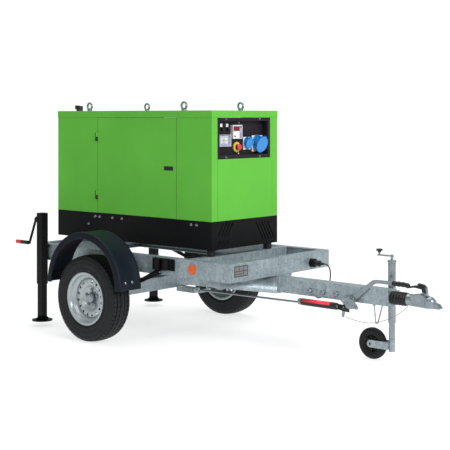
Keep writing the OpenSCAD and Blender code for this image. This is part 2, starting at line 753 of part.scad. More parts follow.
module panel_instruments() color("gainsboro") from_axle() {
    // controller with its display
    block([back_x, -101, 1386], [back_x + 25, -1, 1481]);
    block([back_x + 25, -94, 1440], [back_x + 27, -34, 1472]);
    // breaker box, open at the front behind its window
    difference() {
        block(breaker[0], breaker[1]);
        block(breaker[0] + [26, 22, 18], breaker[1] + [1, -22, -20]);
        block(breaker[0] + [26, 16, 62], breaker[1] + [1, -16, -2]);
        bar_y([breaker[1][0] - 6, breaker[0][1] + 12, breaker[1][2] - 10], breaker_w - 24,
            2 + run_fit);
        // slot and pivot of the levers
        block([back_x + 16, lever_y - 9, lever_z - 12], [back_x + 27, lever_y + 9, lever_z + 12]);
        bar_y([back_x + 20, lever_y - 15, lever_z], 30, 3 + run_fit);
    }
    // collar of the stop button
    difference() {
        bar_x([back_x, stop_y, stop_z], 8, 35);
        bar_x([back_x - 1, stop_y, stop_z], 20, 11 + run_fit);
    }
    // two fuse holders, each under its label plate
    for (y = [-197, -136]) {
        block([back_x, y - 11, 1468], [back_x + 3, y + 11, 1490]);
        bar_x([back_x, y + 8, 1452], 18, 11);
    }
    // indicator lenses
    bar_x([back_x, -13, 1496], 4, 5);
    bar_x([back_x, -18, 1284], 4, 5);
    socket(small_socket, small_r, small_reach);
    socket(large_socket, large_r, large_reach);
}

// Clear window in front of the breakers, hung on its upper edge
module breaker_window() color("lightgray") from_axle() {
    x = breaker[1][0] - 6;
    z = breaker[1][2] - 10;
    bar_y([x, breaker[0][1] + 12.5, z], breaker_w - 25, 2);
    block([x - 1.5, breaker[0][1] + 23, breaker[0][2] + 20], [x + 1.5, breaker[1][1] - 23, z]);
}

// Linked levers of the breakers
module breaker_switch() color("black") from_axle() {
    bar_y([back_x + 20, lever_y - 14.5, lever_z], 29, 3);
    translate([back_x + 20, lever_y, lever_z]) rotate([0, -25, 0]) block([0, -8, -2.5], [9.5, 8, 2.5]);
}

module stop_button() color("#d8302f") from_axle() {
    bar_x([back_x - 2, stop_y, stop_z], 30, 11);
    bar_x([back_x + 24, stop_y, stop_z], 14, 22);
}

module small_socket_lid() color("#2f8fe0") from_axle()
    socket_lid(small_socket, small_r, small_lid_r, small_reach);
module large_socket_lid() color("#2f8fe0") from_axle()
    socket_lid(large_socket, large_r, large_lid_r, large_reach);

// ---------- roof fittings and exhaust ----------

module lifting_eyes() color("silver") from_axle()
    for (x = [-1, 1] * eye_x, y = [-1, 1] * eye_y) translate([x, y, roof_z]) {
        bar_z([0, 0, 0], 10, 18);
        bar_z([0, 0, 8], 7, 10);
        bar_z([0, 0, -26], 30, 8);
        bar_z([0, 0, -sheet_t - 17], 13, 13, $fn = 6);
        translate([0, 0, 34]) rotate([90, 0, 0]) rotate_extrude() {
            translate([eye_bore + 7, 0]) circle(r = 7);
            translate([eye_bore, -5]) square([7, 10]);
        }
    }

silencer_x = -665;
silencer_z = 1430;
silencer_r = 62;
outlet_z = roof_z + 36;
module silencer() color("#2a2a2c") from_axle() {
    bar_y([silencer_x, -235, silencer_z], 430, silencer_r);
    bar_z([exhaust_x, exhaust_y, silencer_z], outlet_z - silencer_z, exhaust_r);
    // clamp ears for the rain flap
    for (y = [-14, 10]) difference() {
        block([exhaust_x - exhaust_r - 12, exhaust_y + y, outlet_z - 22],
            [exhaust_x - exhaust_r + 8, exhaust_y + y + 4, outlet_z + 8]);
        bar_y([exhaust_x - exhaust_r - 6, exhaust_y + y - 1, outlet_z + 2], 6, 3 + run_fit);
    }
    // down pipe from the manifold
    bent_bar([[silencer_x, 60, silencer_z], [-540, 60, 1490], [-380, -140, 1490],
        [-380, -140, 1290]], 20);
}

module rain_flap() color("#2a2a2c") from_axle() {
    x = exhaust_x - exhaust_r - 6;
    bar_y([x, exhaust_y - 15, outlet_z + 2], 30, 3);
    difference() {
        bar_z([exhaust_x, exhaust_y, outlet_z + 0.5], 3, exhaust_r + 4);
        for (y = [-30, 9]) block([x - 10, exhaust_y + y, outlet_z], [x + 16, exhaust_y + y + 21,
            outlet_z + 5]);
    }
    block([x, exhaust_y - 9, outlet_z + 0.5], [exhaust_x, exhaust_y + 9, outlet_z + 3.5]);
}

// ---------- engine and alternator ----------

crank_axis_z = 1010;
shaft_r = 22;
fan_axis_z = 1135;
pulley_r = 66;
fan_pulley_r = 55;
pulley_x = -508;
bore_r = 41;
module engine_block() color("#3c4146") from_axle() {
    difference() {
        block([-470, -120, 930], [-20, 120, 1225]);
        for (x = [-390, -265, -140]) bar_z([x, 0, 1010], 230, bore_r);
        block([-450, -90, 940], [-40, 90, 1085]);
        bar_x([-480, 0, crank_axis_z], 500, shaft_r + run_fit);
        bar_x([-480, 0, fan_axis_z], 42, 12 + run_fit);
    }
    // sump
    difference() {
        block([-450, -105, 848], [-60, 105, 930]);
        block([-444, -99, 854], [-66, 99, 931]);
    }
    // flywheel housing
    difference() {
        bar_x([-20, 0, crank_axis_z], 86, 170);
        bar_x([-12, 0, crank_axis_z], 200, 158);
        bar_x([-30, 0, crank_axis_z], 30, shaft_r + run_fit);
    }
    // feet on rubber mounts
    both_sides() for (x = [-440, -60]) {
        block([x - 22, -175, 868], [x + 22, -104, 880]);
        bar_z([x, -150, panel_z - base_t], 868 - panel_z + base_t, 24);
    }
    // starter, injection pump and charging alternator
    bar_x([-190, -165, 1000], 172, 38);
    block([-330, -165, 1060], [-210, -120, 1160]);
    bar_x([-470, 165, 1060], 130, 46);
}

module cylinder_head() color("#50565b") from_axle() {
    block([-470, -115, 1225], [-30, 115, 1310]);
    block([-450, -70, 1310], [-50, 70, 1372]);
    // intake manifold with its air filter
    block([-430, 115, 1240], [-70, 165, 1290]);
    bar_x([-400, 225, 1330], 290, 62);
    bar_y([-250, 150, 1280], 60, 24);
    // exhaust manifold
    block([-430, -160, 1240], [-70, -115, 1290]);
}

module crankshaft_set() color("dimgray") from_axle() {
    bar_x([-522, 0, crank_axis_z], 942, shaft_r);
    difference() {
        bar_x([pulley_x - 12, 0, crank_axis_z], 24, pulley_r);
        turned_x([pulley_x, 0, crank_axis_z])
            polygon([[pulley_r - 9, -3], [pulley_r + 1, -8], [pulley_r + 1, 8], [pulley_r - 9, 3]]);
    }
    bar_x([0, 0, crank_axis_z], 40, 150);
    // rotor of the alternator
    bar_x([140, 0, crank_axis_z], 200, 92);
}

module cooling_fan() color("#202224") from_axle() {
    bar_x([-545, 0, fan_axis_z], 105, 12);
    difference() {
        bar_x([pulley_x - 12, 0, fan_axis_z], 24, fan_pulley_r);
        turned_x([pulley_x, 0, fan_axis_z]) polygon([[fan_pulley_r - 9, -3],
            [fan_pulley_r + 1, -8], [fan_pulley_r + 1, 8], [fan_pulley_r - 9, 3]]);
    }
    bar_x([-548, 0, fan_axis_z], 22, 45);
    for (i = [0:6]) translate([-537, 0, fan_axis_z]) rotate([360 / 7 * i, 0, 0])
        rotate([0, 0, 28]) block([-2, -24, 40], [2, 24, 175]);
}

module radiator() color("#3a3d40") from_axle() {
    difference() {
        block([-640, -230, 880], [-590, 230, 1360]);
        block([-641, -190, 930], [-630, 190, 1310]);
    }
    // fan shroud
    difference() {
        block([-590, -205, 925], [-560, 205, 1345]);
        block([-591, -200, 930], [-570, 200, 1340]);
        bar_x([-600, 0, fan_axis_z], 60, 185);
    }
    // feet on the base's side rails
    both_sides() block([-640, -cy + 30, panel_z], [-590, -200, 880]);
}

module alternator() color("#3f4a57") from_axle() {
    difference() {
        bar_x([66, 0, crank_axis_z], 364, 168);
        bar_x([60, 0, crank_axis_z], 350, 150);
        bar_x([60, 0, crank_axis_z], 400, shaft_r + run_fit);
    }
    // stator
    difference() {
        bar_x([140, 0, crank_axis_z], 200, 150.2);
        bar_x([139, 0, crank_axis_z], 202, 93);
    }
    // terminal box and feet
    block([150, -90, 1165], [340, 90, 1250]);
    both_sides() {
        block([375, -175, 868], [425, -100, 880]);
        block([380, -130, 880], [420, -118, 905]);
        bar_z([400, -150, panel_z - base_t], 868 - panel_z + base_t, 24);
    }
}

module battery() color("#26292c") from_axle() {
    block([520, 110, 842], [690, 300, 1030]);
    block([510, 100, panel_z], [700, cy - 20, 842]);
    for (y = [150, 260]) bar_z([550, y, 1030], 16, 9);
}

// ---------- coupling ----------

head_x = 2079;
ball_x = 2229;
module coupling_head() color("#9fb0b8") from_axle() {
    low = bar_z - 34;
    difference() {
        union() {
            // shaft that slides in the drawbar
            bar_x([bar_x1 - 260, 0, bar_z], head_x - bar_x1 + 290, shaft_d / 2);
            // neck, cheeks and nose of the casting
            bar_x([head_x, 0, bar_z], 40, 36);
            plate_xz(-34, 34, [[head_x + 30, low + 4], [head_x + 30, bar_z + 34], [ball_x - 52, bar_z + 46],
                [ball_x - 24, bar_z + 34], [ball_x - 4, bar_z + 14], [ball_x, low + 6], [ball_x, low]]);
            bar_z([ball_x, 0, low], 44, 40);
            translate([ball_x, 0, low + 30]) sphere(r = 38);
            plate_xz(-22, 22, [[ball_x + 10, low], [ball_x + 76, low], [ball_x + 76, low + 6],
                [ball_x + 60, low + 26], [ball_x + 10, low + 38]]);
        }
        // socket for the tow ball, open below
        translate([ball_x, 0, low + 20]) sphere(r = ball_d / 2 + 0.4);
        bar_z([ball_x, 0, low - 12], 32, ball_d / 2 + 0.4);
        block([ball_x - 60, -60, low - 30], [ball_x + 100, 60, low]);
        // room for the handle's tongue, and its pivot
        block([ball_x - 90, -14, bar_z + 2], [ball_x - 6, 14, bar_z + 80]);
        bar_y([ball_x - 36, -50, bar_z + 30], 100, 6 + run_fit);
    }
}

module coupling_handle() color("#7d8a90") from_axle() {
    x = ball_x - 36;
    z = bar_z + 30;
    bar_y([x, -33, z], 66, 6);
    plate_xz(-13, 13, [[x - 8, z - 8], [x + 10, z - 10], [x + 20, z + 16], [x + 12, z + 56],
        [x - 4, z + 70], [x - 40, z + 76], [x - 42, z + 70], [x - 14, z + 50], [x - 12, z + 30]]);
    plate_xz(-20, 20, [[x - 12, z + 44], [x - 4, z + 62], [x - 60, z + 62], [x - 112, z + 50],
        [x - 112, z + 40], [x - 60, z + 50]]);
}

// Rubber bellows between the drawbar and the coupling head
module bellows() color("#141516") from_axle() turned_x([bar_x1, 0, bar_z]) {
    length = head_x - bar_x1;
    folds = 6;
    polygon(concat([[shaft_d / 2 + 0.3, length - 0.3], [shaft_d / 2 + 0.3, 0.3]],
        [for (i = [0:folds - 1], k = [0:1])
            [k == 0 ? 34 : 43, 0.3 + (length - 0.6) * (i + k * 0.5) / folds]],
        [[34, length - 0.3]]));
}

// ---------- handbrake ----------

lever_t = 12;
module handbrake_lever() color("#8f9ca3") from_axle() {
    y0 = lever_pin[1] - lever_t / 2;
    difference() {
        plate_xz(y0, y0 + lever_t, [[1632, 268], [1646, 268], [1664, 322], [1702, 344], [1706, 366],
            [1880, 505], [2012, 508], [2012, 530], [1866, 530], [1672, 386], [1652, 352], [1646, 330],
            [1630, 284]]);
        bar_y([lever_pin[0], y0 - 1, lever_pin[2]], lever_t + 2, 4);
    }
    bar_y([lever_pin[0], -bar_side / 2 - 4 * ear_t - 2, lever_pin[2]], 4 * ear_t + 2, 8);
    // pin that pulls the brake rod
    bar_y([1657, y0 - 16, 336], 20, 5);
    // plastic grip
    bar_x([2010, lever_pin[1], 519], 117, 16);
}

rod_y = lever_pin[1] - lever_t / 2 - 14;
module brake_rod() color("#b7c3c8") from_axle() {
    strut([403, 0, 302], [1313, rod_y, 330], 7);
    // equaliser at the rear end
    block([395, -60, 290], [405, 60, 314]);
    // spring cylinder
    bar_x([1307, rod_y, 336], 306, 23);
    // clevis with a slot for the lever's pin
    difference() {
        plate_xz(rod_y - 1, rod_y + 4, [[1600, 318], [1700, 306], [1700, 352], [1600, 354]]);
        for (z = [324, 336]) bar_y([1657, rod_y - 3, z], 10, 6.8);
        block([1657 - 6.8, rod_y - 3, 324], [1657 + 6.8, rod_y + 8, 336]);
    }
}

// ---------- jockey wheel ----------

jockey_y = bar_side / 2 + jockey_tube_d / 2 + 9;
jockey_z0 = 245;
jockey_z1 = 624;
leg_r = jockey_tube_d / 2 - 4 - clear;
leg_z0 = 65;
fork_x = 1768;
jockey_axle_z = jockey_d / 2;
module jockey_tube() color("#aab8bf") from_axle() {
    ring_z([jockey_x, jockey_y, jockey_z0], jockey_z1 - jockey_z0, jockey_tube_d / 2,
        jockey_tube_d / 2 - 4);
    ring_z([jockey_x, jockey_y, jockey_z1], 14, jockey_tube_d / 2 + 3, 8 + run_fit);
}

module jockey_leg() color("#9aa8af") from_axle() {
    ring_z([jockey_x, jockey_y, leg_z0 + 84], 360, leg_r, 13);
    bar_z([jockey_x, jockey_y, leg_z0 + 84], 16, leg_r);
    bar_z([jockey_x, jockey_y, leg_z0 + 50], 40, 10);
}

fork_half = 34;
fork_t = 6;
stem_r = leg_r + 1;
module jockey_fork() color("#8f9ca3") from_axle() {
    difference() {
        union() {
            bar_z([jockey_x, jockey_y, leg_z0], 82, stem_r);
            block([jockey_x - 34, jockey_y - fork_half, 80], [jockey_x - 12, jockey_y + fork_half, 122]);
        }
        bar_z([jockey_x, jockey_y, leg_z0 + 40], 60, 10 + run_fit);
    }
    // trailing straps and the wheel's axle
    for (y = [-fork_half, fork_half - fork_t]) plate_xz(jockey_y + y, jockey_y + y + fork_t,
        [[jockey_x - 12, 78], [jockey_x - 12, 126], [fork_x - 8, 124], [fork_x - 21, 112],
            [fork_x - 24, 100], [fork_x - 21, 88], [fork_x - 8, 78]]);
    bar_y([fork_x, jockey_y - fork_half - 4, jockey_axle_z], 2 * (fork_half + 4), 8);
}

module jockey_wheel() color("#1a1b1c") from_axle() {
    difference() {
        union() {
            turned_y([fork_x, jockey_y, jockey_axle_z]) difference() {
                tyre_section(60, jockey_d / 2, 25, 14);
            }
            turned_y([fork_x, jockey_y, jockey_axle_z]) translate([55, -20]) square([6, 40]);
            bar_y([fork_x, jockey_y - 27, jockey_axle_z], 54, 18);
            for (i = [0:4]) translate([fork_x, jockey_y, jockey_axle_z])
                rotate([0, 72 * i, 0]) block([12, -12, -7], [57, 12, 7]);
        }
        bar_y([fork_x, jockey_y - 40, jockey_axle_z], 80, 8 + run_fit);
    }
}

jockey_arm_z = 660;
module jockey_crank() color("#9aa8af") from_axle() {
    bar_z([jockey_x, jockey_y, jockey_z1 - 24], jockey_arm_z - jockey_z1 + 30, 8);
    block([jockey_x - 106, jockey_y - 11, jockey_arm_z], [jockey_x + 12, jockey_y + 11, jockey_arm_z + 8]);
    bar_z([jockey_x - 93, jockey_y, jockey_arm_z + 8], 14, 7);
    bar_z([jockey_x - 93, jockey_y, jockey_arm_z + 20], 24, 17);
}

clamp_z = bar_z - 30;
clamp_screw = [jockey_x + 48, jockey_y + 8, bar_z];
module clamp_handle() color("silver") from_axle() {
    bar_y([clamp_screw[0], bar_side / 2 + 1, clamp_screw[2]], 81, 7);
    bar_z([clamp_screw[0], bar_side / 2 + 76, clamp_screw[2] - 62], 74, 6);
}

// ---------- small fittings of the trailer ----------

plug_y = 330;
plug_z = 527;
lead_exit = [1305, bar_side / 2, 420];
guide_eye = [1856, -8, 248.6];
guide_r = 4;
module drawbar_fittings() color("#1c1d1f") from_axle() {
    // clamp of the jockey tube
    difference() {
        union() {
            block([jockey_x - 36, bar_side / 2, clamp_z], [jockey_x + 66, bar_side / 2 + 6, clamp_z + 60]);
            block([jockey_x - 36, bar_side / 2 + 5, clamp_z], [jockey_x + 36, jockey_y + 34, clamp_z + 60]);
        }
        bar_z([jockey_x, jockey_y, clamp_z - 1], 62, jockey_tube_d / 2 + run_fit);
        bar_y([clamp_screw[0], bar_side / 2 + 1, clamp_screw[2]], 20, 7 + run_fit);
    }
    // holder of the parked plug
    difference() {
        bar_x([frame_x1, plug_y, plug_z], 32, 30);
        bar_x([frame_x1 + 4, plug_y, plug_z], 40, 25);
    }
    // grommet of the lighting lead
    bar_y(lead_exit, 7, 8);
    // wire loop that guides the breakaway cable, on two pads under the drawbar
    pad_h = 8;
    guide_h = bar_z - bar_side / 2 - pad_h / 2 - guide_eye[2];
    translate(guide_eye) {
        bent_bar([[-4, -24, guide_h], [0, -12, 0], [0, 12, 0], [18, 40, guide_h]], guide_r);
        for (p = [[-4, -24], [18, 40]]) bar_z([p[0], p[1], guide_h - pad_h / 2], pad_h, 9);
    }
    // chock bracket on the right-hand rail
    difference() {
        union() {
            block([428, -fy - 10, rail_z + 36], [617, -fy, rail_z1 - 8]);
            bar_z([466, -fy - 10, rail_z + 36], rail_h - 44, 34);
            bar_z([540, -fy - 10, rail_z + 36], rail_h - 46, 28);
        }
        block([400, -fy, 0], [700, 0, 1000]);
    }
    for (z = [rail_z + 56, rail_z1 - 28]) bolt_right([600, -fy - 10, z], 13);
}

// Side and rear reflectors, marker lamps and the rear lamps on their bar
lamp_y = 400;
module lamps() color("#d0602a") from_axle() {
    both_sides() {
        bar_y([776, -fy - 9, 539], 9, 32.5);
        block([frame_x0 - 34, -lamp_y - 105, 474], [frame_x0 - 6, -lamp_y + 105, 560]);
    }
    block([frame_x0 - 6, -510, 484], [frame_x0, 510, 550]);
    block([frame_x0 - 30, -45, 520], [frame_x0 - 6, 45, 548]);
}

// ---------- leads ----------

lead_d = 9;
lead_path = [[1205.2, 330, 527], [1222, 330, 526.6], [1240, 332, 517], [1251, 335, 492], [1254, 336, 462],
    [1254, 334, 432], [1254, 328, 402], [1255, 315, 374], [1257, 294, 350], [1260, 266, 333],
    [1264, 234, 324], [1269, 200, 321], [1275, 166, 324], [1281, 136, 334], [1289, 108, 350],
    [1296, 88, 372], [1301, 81, 396], [1304, 73, 413], [1305, 64, 420], [1305, 56.3, 420]];
module lighting_lead() color("#18191b") from_axle() swept(lead_path, lead_d, [1, 1, 0]);

module lead_plug() color("#202225") from_axle() {
    bar_x([frame_x1 + 5, plug_y, plug_z], 34, 24);
    bar_x([frame_x1 + 38, plug_y, plug_z], 36, 21);
    translate([frame_x1 + 74, plug_y, plug_z]) rotate([0, 90, 0]) cylinder(h = 34, r1 = 13, r2 = 7);
}

cable_d = 4;
cable_rear = [[1648, -56.7, 272], [1664, -54, 268], [1682, -50, 263], [1700, -46, 258], [1720, -41, 254],
    [1742, -36, 250], [1766, -31, 247], [1790, -26, 246], [1814, -21, 247], [1836, -16, 250],
    [1856, -13, 255]];
cable_front = [[1856, -13, 255], [1875, -11, 260], [1894, -11, 266], [1914, -12, 273],
    [1934, -13, 281], [1954, -14, 290], [1974, -15, 300], [1994, -16, 311], [2013, -17, 323], [2031, -18, 335], [2048, -19, 348],
    [2064, -20, 360], [2078, -20, 372], [2086, -20, 383]];
module breakaway_cable() color("#9a9da0") from_axle()
    swept(concat(cable_rear, [for (i = [1:len(cable_front) - 1]) cable_front[i]]), cable_d, [0, 1, 0.6]);

// ---------- nodes ----------

side_rails();
cross_rails();
drawbar_arms();
drawbar_tube();
axle_beam();
rubber_feet();
fenders();
jack_sleeves();
jack_leg_right();
jack_leg_left();
jack_crank_right();
jack_crank_left();
base_shell();
fuel_tank();
canopy_roof();
corner_panels();
front_panel();
rear_panel();
door_right();
door_left();
latch_right();
latch_left();
door_hinges();
control_panel();
panel_instruments();
breaker_window();
breaker_switch();
stop_button();
small_socket_lid();
large_socket_lid();
lifting_eyes();
silencer();
rain_flap();
engine_block();
cylinder_head();
crankshaft_set();
cooling_fan();
radiator();
alternator();
battery();
tyre_right();
tyre_left();
rim_right();
rim_left();
coupling_head();
coupling_handle();
bellows();
handbrake_lever();
brake_rod();
jockey_tube();
jockey_leg();
jockey_fork();
jockey_wheel();
jockey_crank();
clamp_handle();
drawbar_fittings();
lamps();
lighting_lead();
breakaway_cable();
lead_plug();
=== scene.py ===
"""Looks of the towable diesel generator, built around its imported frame. Lengths are in metres."""
import json
import math

import bmesh
import bpy
from mathutils import Matrix, Vector


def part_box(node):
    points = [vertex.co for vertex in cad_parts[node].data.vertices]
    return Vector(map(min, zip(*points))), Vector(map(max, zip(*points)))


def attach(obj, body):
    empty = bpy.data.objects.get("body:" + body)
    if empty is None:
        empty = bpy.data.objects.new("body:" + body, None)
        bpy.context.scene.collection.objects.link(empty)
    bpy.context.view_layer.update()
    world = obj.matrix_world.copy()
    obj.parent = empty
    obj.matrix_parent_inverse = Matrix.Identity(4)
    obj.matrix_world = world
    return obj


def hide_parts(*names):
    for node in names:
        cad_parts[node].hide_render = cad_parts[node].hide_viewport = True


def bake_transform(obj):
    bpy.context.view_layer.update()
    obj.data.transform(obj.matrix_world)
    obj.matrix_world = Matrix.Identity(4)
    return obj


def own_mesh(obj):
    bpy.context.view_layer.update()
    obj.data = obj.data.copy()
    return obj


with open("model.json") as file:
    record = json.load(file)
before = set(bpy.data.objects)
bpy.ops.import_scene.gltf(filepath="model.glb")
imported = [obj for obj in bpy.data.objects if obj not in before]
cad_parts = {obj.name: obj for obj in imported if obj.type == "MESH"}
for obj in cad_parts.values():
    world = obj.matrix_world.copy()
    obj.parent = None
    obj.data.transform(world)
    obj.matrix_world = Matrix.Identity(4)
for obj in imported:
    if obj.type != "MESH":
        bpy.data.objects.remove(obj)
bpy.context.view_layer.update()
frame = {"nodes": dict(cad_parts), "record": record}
NODES = frame["nodes"]


def middle(node):
    """The middle of a CAD node's box."""
    low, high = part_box(node)
    return (low + high) / 2


AXLE_X = middle("tyre_right").x
MM = 0.001


def place(x, y, z):
    """A point given in millimetres from the ground under the axle."""
    return Vector((AXLE_X + x * MM, y * MM, z * MM))


def side_name(side):
    """The right-hand side is at -Y, so its side is -1; the left-hand one's is 1."""
    return "right" if side < 0 else "left"


# ---------- camera, light and floor ----------

VIEW_TURN = math.radians(41.1)
AMBIENT = 0.42


def make_camera():
    data = bpy.data.cameras.new("camera")
    camera = bpy.data.objects.new("camera", data)
    bpy.context.scene.collection.objects.link(camera)
    camera.location = place(5685, -5839, 1539.5)
    camera.rotation_euler = (math.radians(90), 0, VIEW_TURN)
    data.sensor_width = 36
    data.lens = 88.6
    data.shift_y = -0.2413
    data.clip_end = 200
    bpy.context.scene.camera = camera


def area_light(name, spot, target, size, power):
    data = bpy.data.lights.new(name, "AREA")
    data.shape = "RECTANGLE"
    data.size, data.size_y = size
    data.energy = power
    lamp = bpy.data.objects.new(name, data)
    lamp.location = spot
    lamp.rotation_euler = (Vector(target) - Vector(spot)).to_track_quat("-Z", "Y").to_euler()
    bpy.context.scene.collection.objects.link(lamp)


def make_studio():
    """A white backdrop, dimmer all-round light and three soft lamps."""
    world = bpy.data.worlds.new("world")
    bpy.context.scene.world = world
    world.use_nodes = True
    tree = world.node_tree
    surroundings = tree.nodes["Background"]
    surroundings.inputs["Color"].default_value = (0.93, 0.97, 1.0, 1)
    surroundings.inputs["Strength"].default_value = AMBIENT
    backdrop = tree.nodes.new("ShaderNodeBackground")
    backdrop.inputs["Color"].default_value = (1, 1, 1, 1)
    backdrop.inputs["Strength"].default_value = 1.1
    choice = tree.nodes.new("ShaderNodeMixShader")
    seen = tree.nodes.new("ShaderNodeLightPath")
    tree.links.new(seen.outputs["Is Camera Ray"], choice.inputs["Fac"])
    tree.links.new(surroundings.outputs["Background"], choice.inputs[1])
    tree.links.new(backdrop.outputs["Background"], choice.inputs[2])
    tree.links.new(choice.outputs["Shader"], tree.nodes["World Output"].inputs["Surface"])
    area_light("front_light", (8, -1.0, 4.5), (0, 0, 0.9), (3, 2.5), 520)
    area_light("side_light", (1.5, -8, 4.5), (0, 0, 0.8), (5, 2), 130)
    area_light("top_light", (-1, 1, 7), (0, 0, 0.5), (7, 7), 330)
    bpy.context.scene.view_settings.view_transform = "Standard"


def make_floor():
    """A pale floor that fades into the backdrop a few metres from the trailer."""
    bpy.ops.mesh.primitive_circle_add(vertices=96, radius=9, fill_type="NGON")
    floor = bpy.context.object
    floor.name = "floor"
    s = Shader("floor_paint", (0.4, 0.4, 0.4), 0.8)
    s.bsdf.inputs["Emission Color"].default_value = (1, 1, 1, 1)
    s.bsdf.inputs["Emission Strength"].default_value = 0.7
    s.bsdf.inputs["Specular IOR Level"].default_value = 0.1
    far = s.add("ShaderNodeVectorMath", operation="LENGTH")
    s.link(s.spot, far.inputs[0])
    s.link(s.remap(far.outputs["Value"], 3.5, 8.5, 1.0, 0.0), s.bsdf.inputs["Alpha"])
    floor.data.materials.append(s.material)


# ---------- materials ----------


class Shader:
    """A Principled material and short ways to add nodes that vary its colour, gloss and surface."""

    def __init__(self, name, color, rough, metal=0.0):
        self.material = bpy.data.materials.new(name)
        self.material.use_nodes = True
        self.tree = self.material.node_tree
        self.bsdf = self.tree.nodes["Principled BSDF"]
        self.bsdf.inputs["Base Color"].default_value = (*color, 1)
        self.bsdf.inputs["Roughness"].default_value = rough
        self.bsdf.inputs["Metallic"].default_value = metal
        self.spot = self.add("ShaderNodeTexCoord").outputs["Object"]

    def add(self, kind, **settings):
        node = self.tree.nodes.new(kind)
        for key, value in settings.items():
            if key in node.inputs:
                node.inputs[key].default_value = value
            else:
                setattr(node, key, value)
        return node

    def link(self, out, into):
        self.tree.links.new(out, into)

    def stretched(self, scale):
        node = self.add("ShaderNodeMapping")
        node.inputs["Scale"].default_value = scale
        self.link(self.spot, node.inputs["Vector"])
        return node.outputs["Vector"]

    def noise(self, scale, detail=4.0, rough=0.55, where=None):
        node = self.add("ShaderNodeTexNoise", Scale=scale, Detail=detail, Roughness=rough)
        self.link(where or self.spot, node.inputs["Vector"])
        return node.outputs["Fac"]

    def cells(self, scale, where=None):
        node = self.add("ShaderNodeTexVoronoi", Scale=scale)
        self.link(where or self.spot, node.inputs["Vector"])
        return node

    def remap(self, value, low, high, to_low, to_high):
        node = self.add("ShaderNodeMapRange")
        for slot, number in zip(("From Min", "From Max", "To Min", "To Max"), (low, high, to_low, to_high)):
            node.inputs[slot].default_value = number
        self.link(value, node.inputs["Value"])
        return node.outputs["Result"]

    def ramp(self, value, stops):
        node = self.add("ShaderNodeValToRGB")
        elements = node.color_ramp.elements
        while len(elements) < len(stops):
            elements.new(0.5)
        for element, (position, color) in zip(elements, stops):
            element.position = position
            element.color = (*color, 1)
        self.link(value, node.inputs["Fac"])
        return node.outputs["Color"]

    def mix(self, amount, first, second, kind="MIX"):
        node = self.add("ShaderNodeMix", data_type="RGBA", blend_type=kind)
        self.feed(amount, node.inputs["Factor"])
        self.feed(first, node.inputs[6])
        self.feed(second, node.inputs[7])
        return node.outputs[2]

    def feed(self, value, socket):
        if isinstance(value, bpy.types.NodeSocket):
            self.link(value, socket)
        elif isinstance(value, (tuple, list)):
            socket.default_value = (*value, 1) if len(value) == 3 else value
        else:
            socket.default_value = value

    def math(self, kind, first, second=0.0):
        node = self.add("ShaderNodeMath", operation=kind)
        self.feed(first, node.inputs[0])
        self.feed(second, node.inputs[1])
        return node.outputs[0]

    def color(self, value):
        self.link(value, self.bsdf.inputs["Base Color"])

    def rough(self, value):
        self.link(value, self.bsdf.inputs["Roughness"])

    def bump(self, height, depth, strength=1.0):
        """Adds a bump of that depth in metres on top of what is there already."""
        node = self.add("ShaderNodeBump", Strength=strength, Distance=depth)
        self.link(height, node.inputs["Height"])
        before = self.bsdf.inputs["Normal"].links
        if before:
            self.link(before[0].from_socket, node.inputs["Normal"])
        self.link(node.outputs["Normal"], self.bsdf.inputs["Normal"])

    def grime(self, amount, low, high, dust=(0.23, 0.22, 0.2), clean=None):
        """Dust that gathers low down and in patches."""
        parts = self.add("ShaderNodeSeparateXYZ")
        self.link(self.spot, parts.inputs["Vector"])
        height = self.remap(parts.outputs["Z"], low, high, 1.0, 0.0)
        patches = self.remap(self.noise(5, 6, 0.65), 0.4, 0.75, 0.25, 1.0)
        mask = self.math("MULTIPLY", self.math("MULTIPLY", height, patches), amount)
        self.color(self.mix(mask, clean, dust))


MADE = {}


def once(maker):
    """Makes each material one time only."""

    def wrapped(name, *args, **kwargs):
        if name not in MADE:
            MADE[name] = maker(name, *args, **kwargs)
        return MADE[name]

    return wrapped


@once
def paint(name, color, rough=0.32, grain=0.00006, coat=0.0, spread=0.06, dusty=0.0, scale=900.0, gloss=0.5):
    """Powder coat or lacquer: a slight orange peel, cloudy gloss and a little dust low down."""
    s = Shader(name, color, rough)
    clouds = s.noise(3.0, 5)
    dark = tuple(c * (1 - spread) for c in color)
    light = tuple(min(1, c * (1 + spread)) for c in color)
    tone = s.ramp(clouds, [(0.3, dark), (0.7, light)])
    if dusty:
        s.grime(dusty, 0.0, 1.1, clean=tone)
    else:
        s.color(tone)
    s.rough(s.remap(s.noise(14.0, 6), 0.25, 0.75, rough * 0.85, min(1, rough * 1.2)))
    if grain:
        s.bump(s.noise(scale, 2), grain)
    s.bsdf.inputs["Specular IOR Level"].default_value = gloss
    s.bsdf.inputs["Coat Weight"].default_value = coat
    s.bsdf.inputs["Coat Roughness"].default_value = 0.15
    return s.material


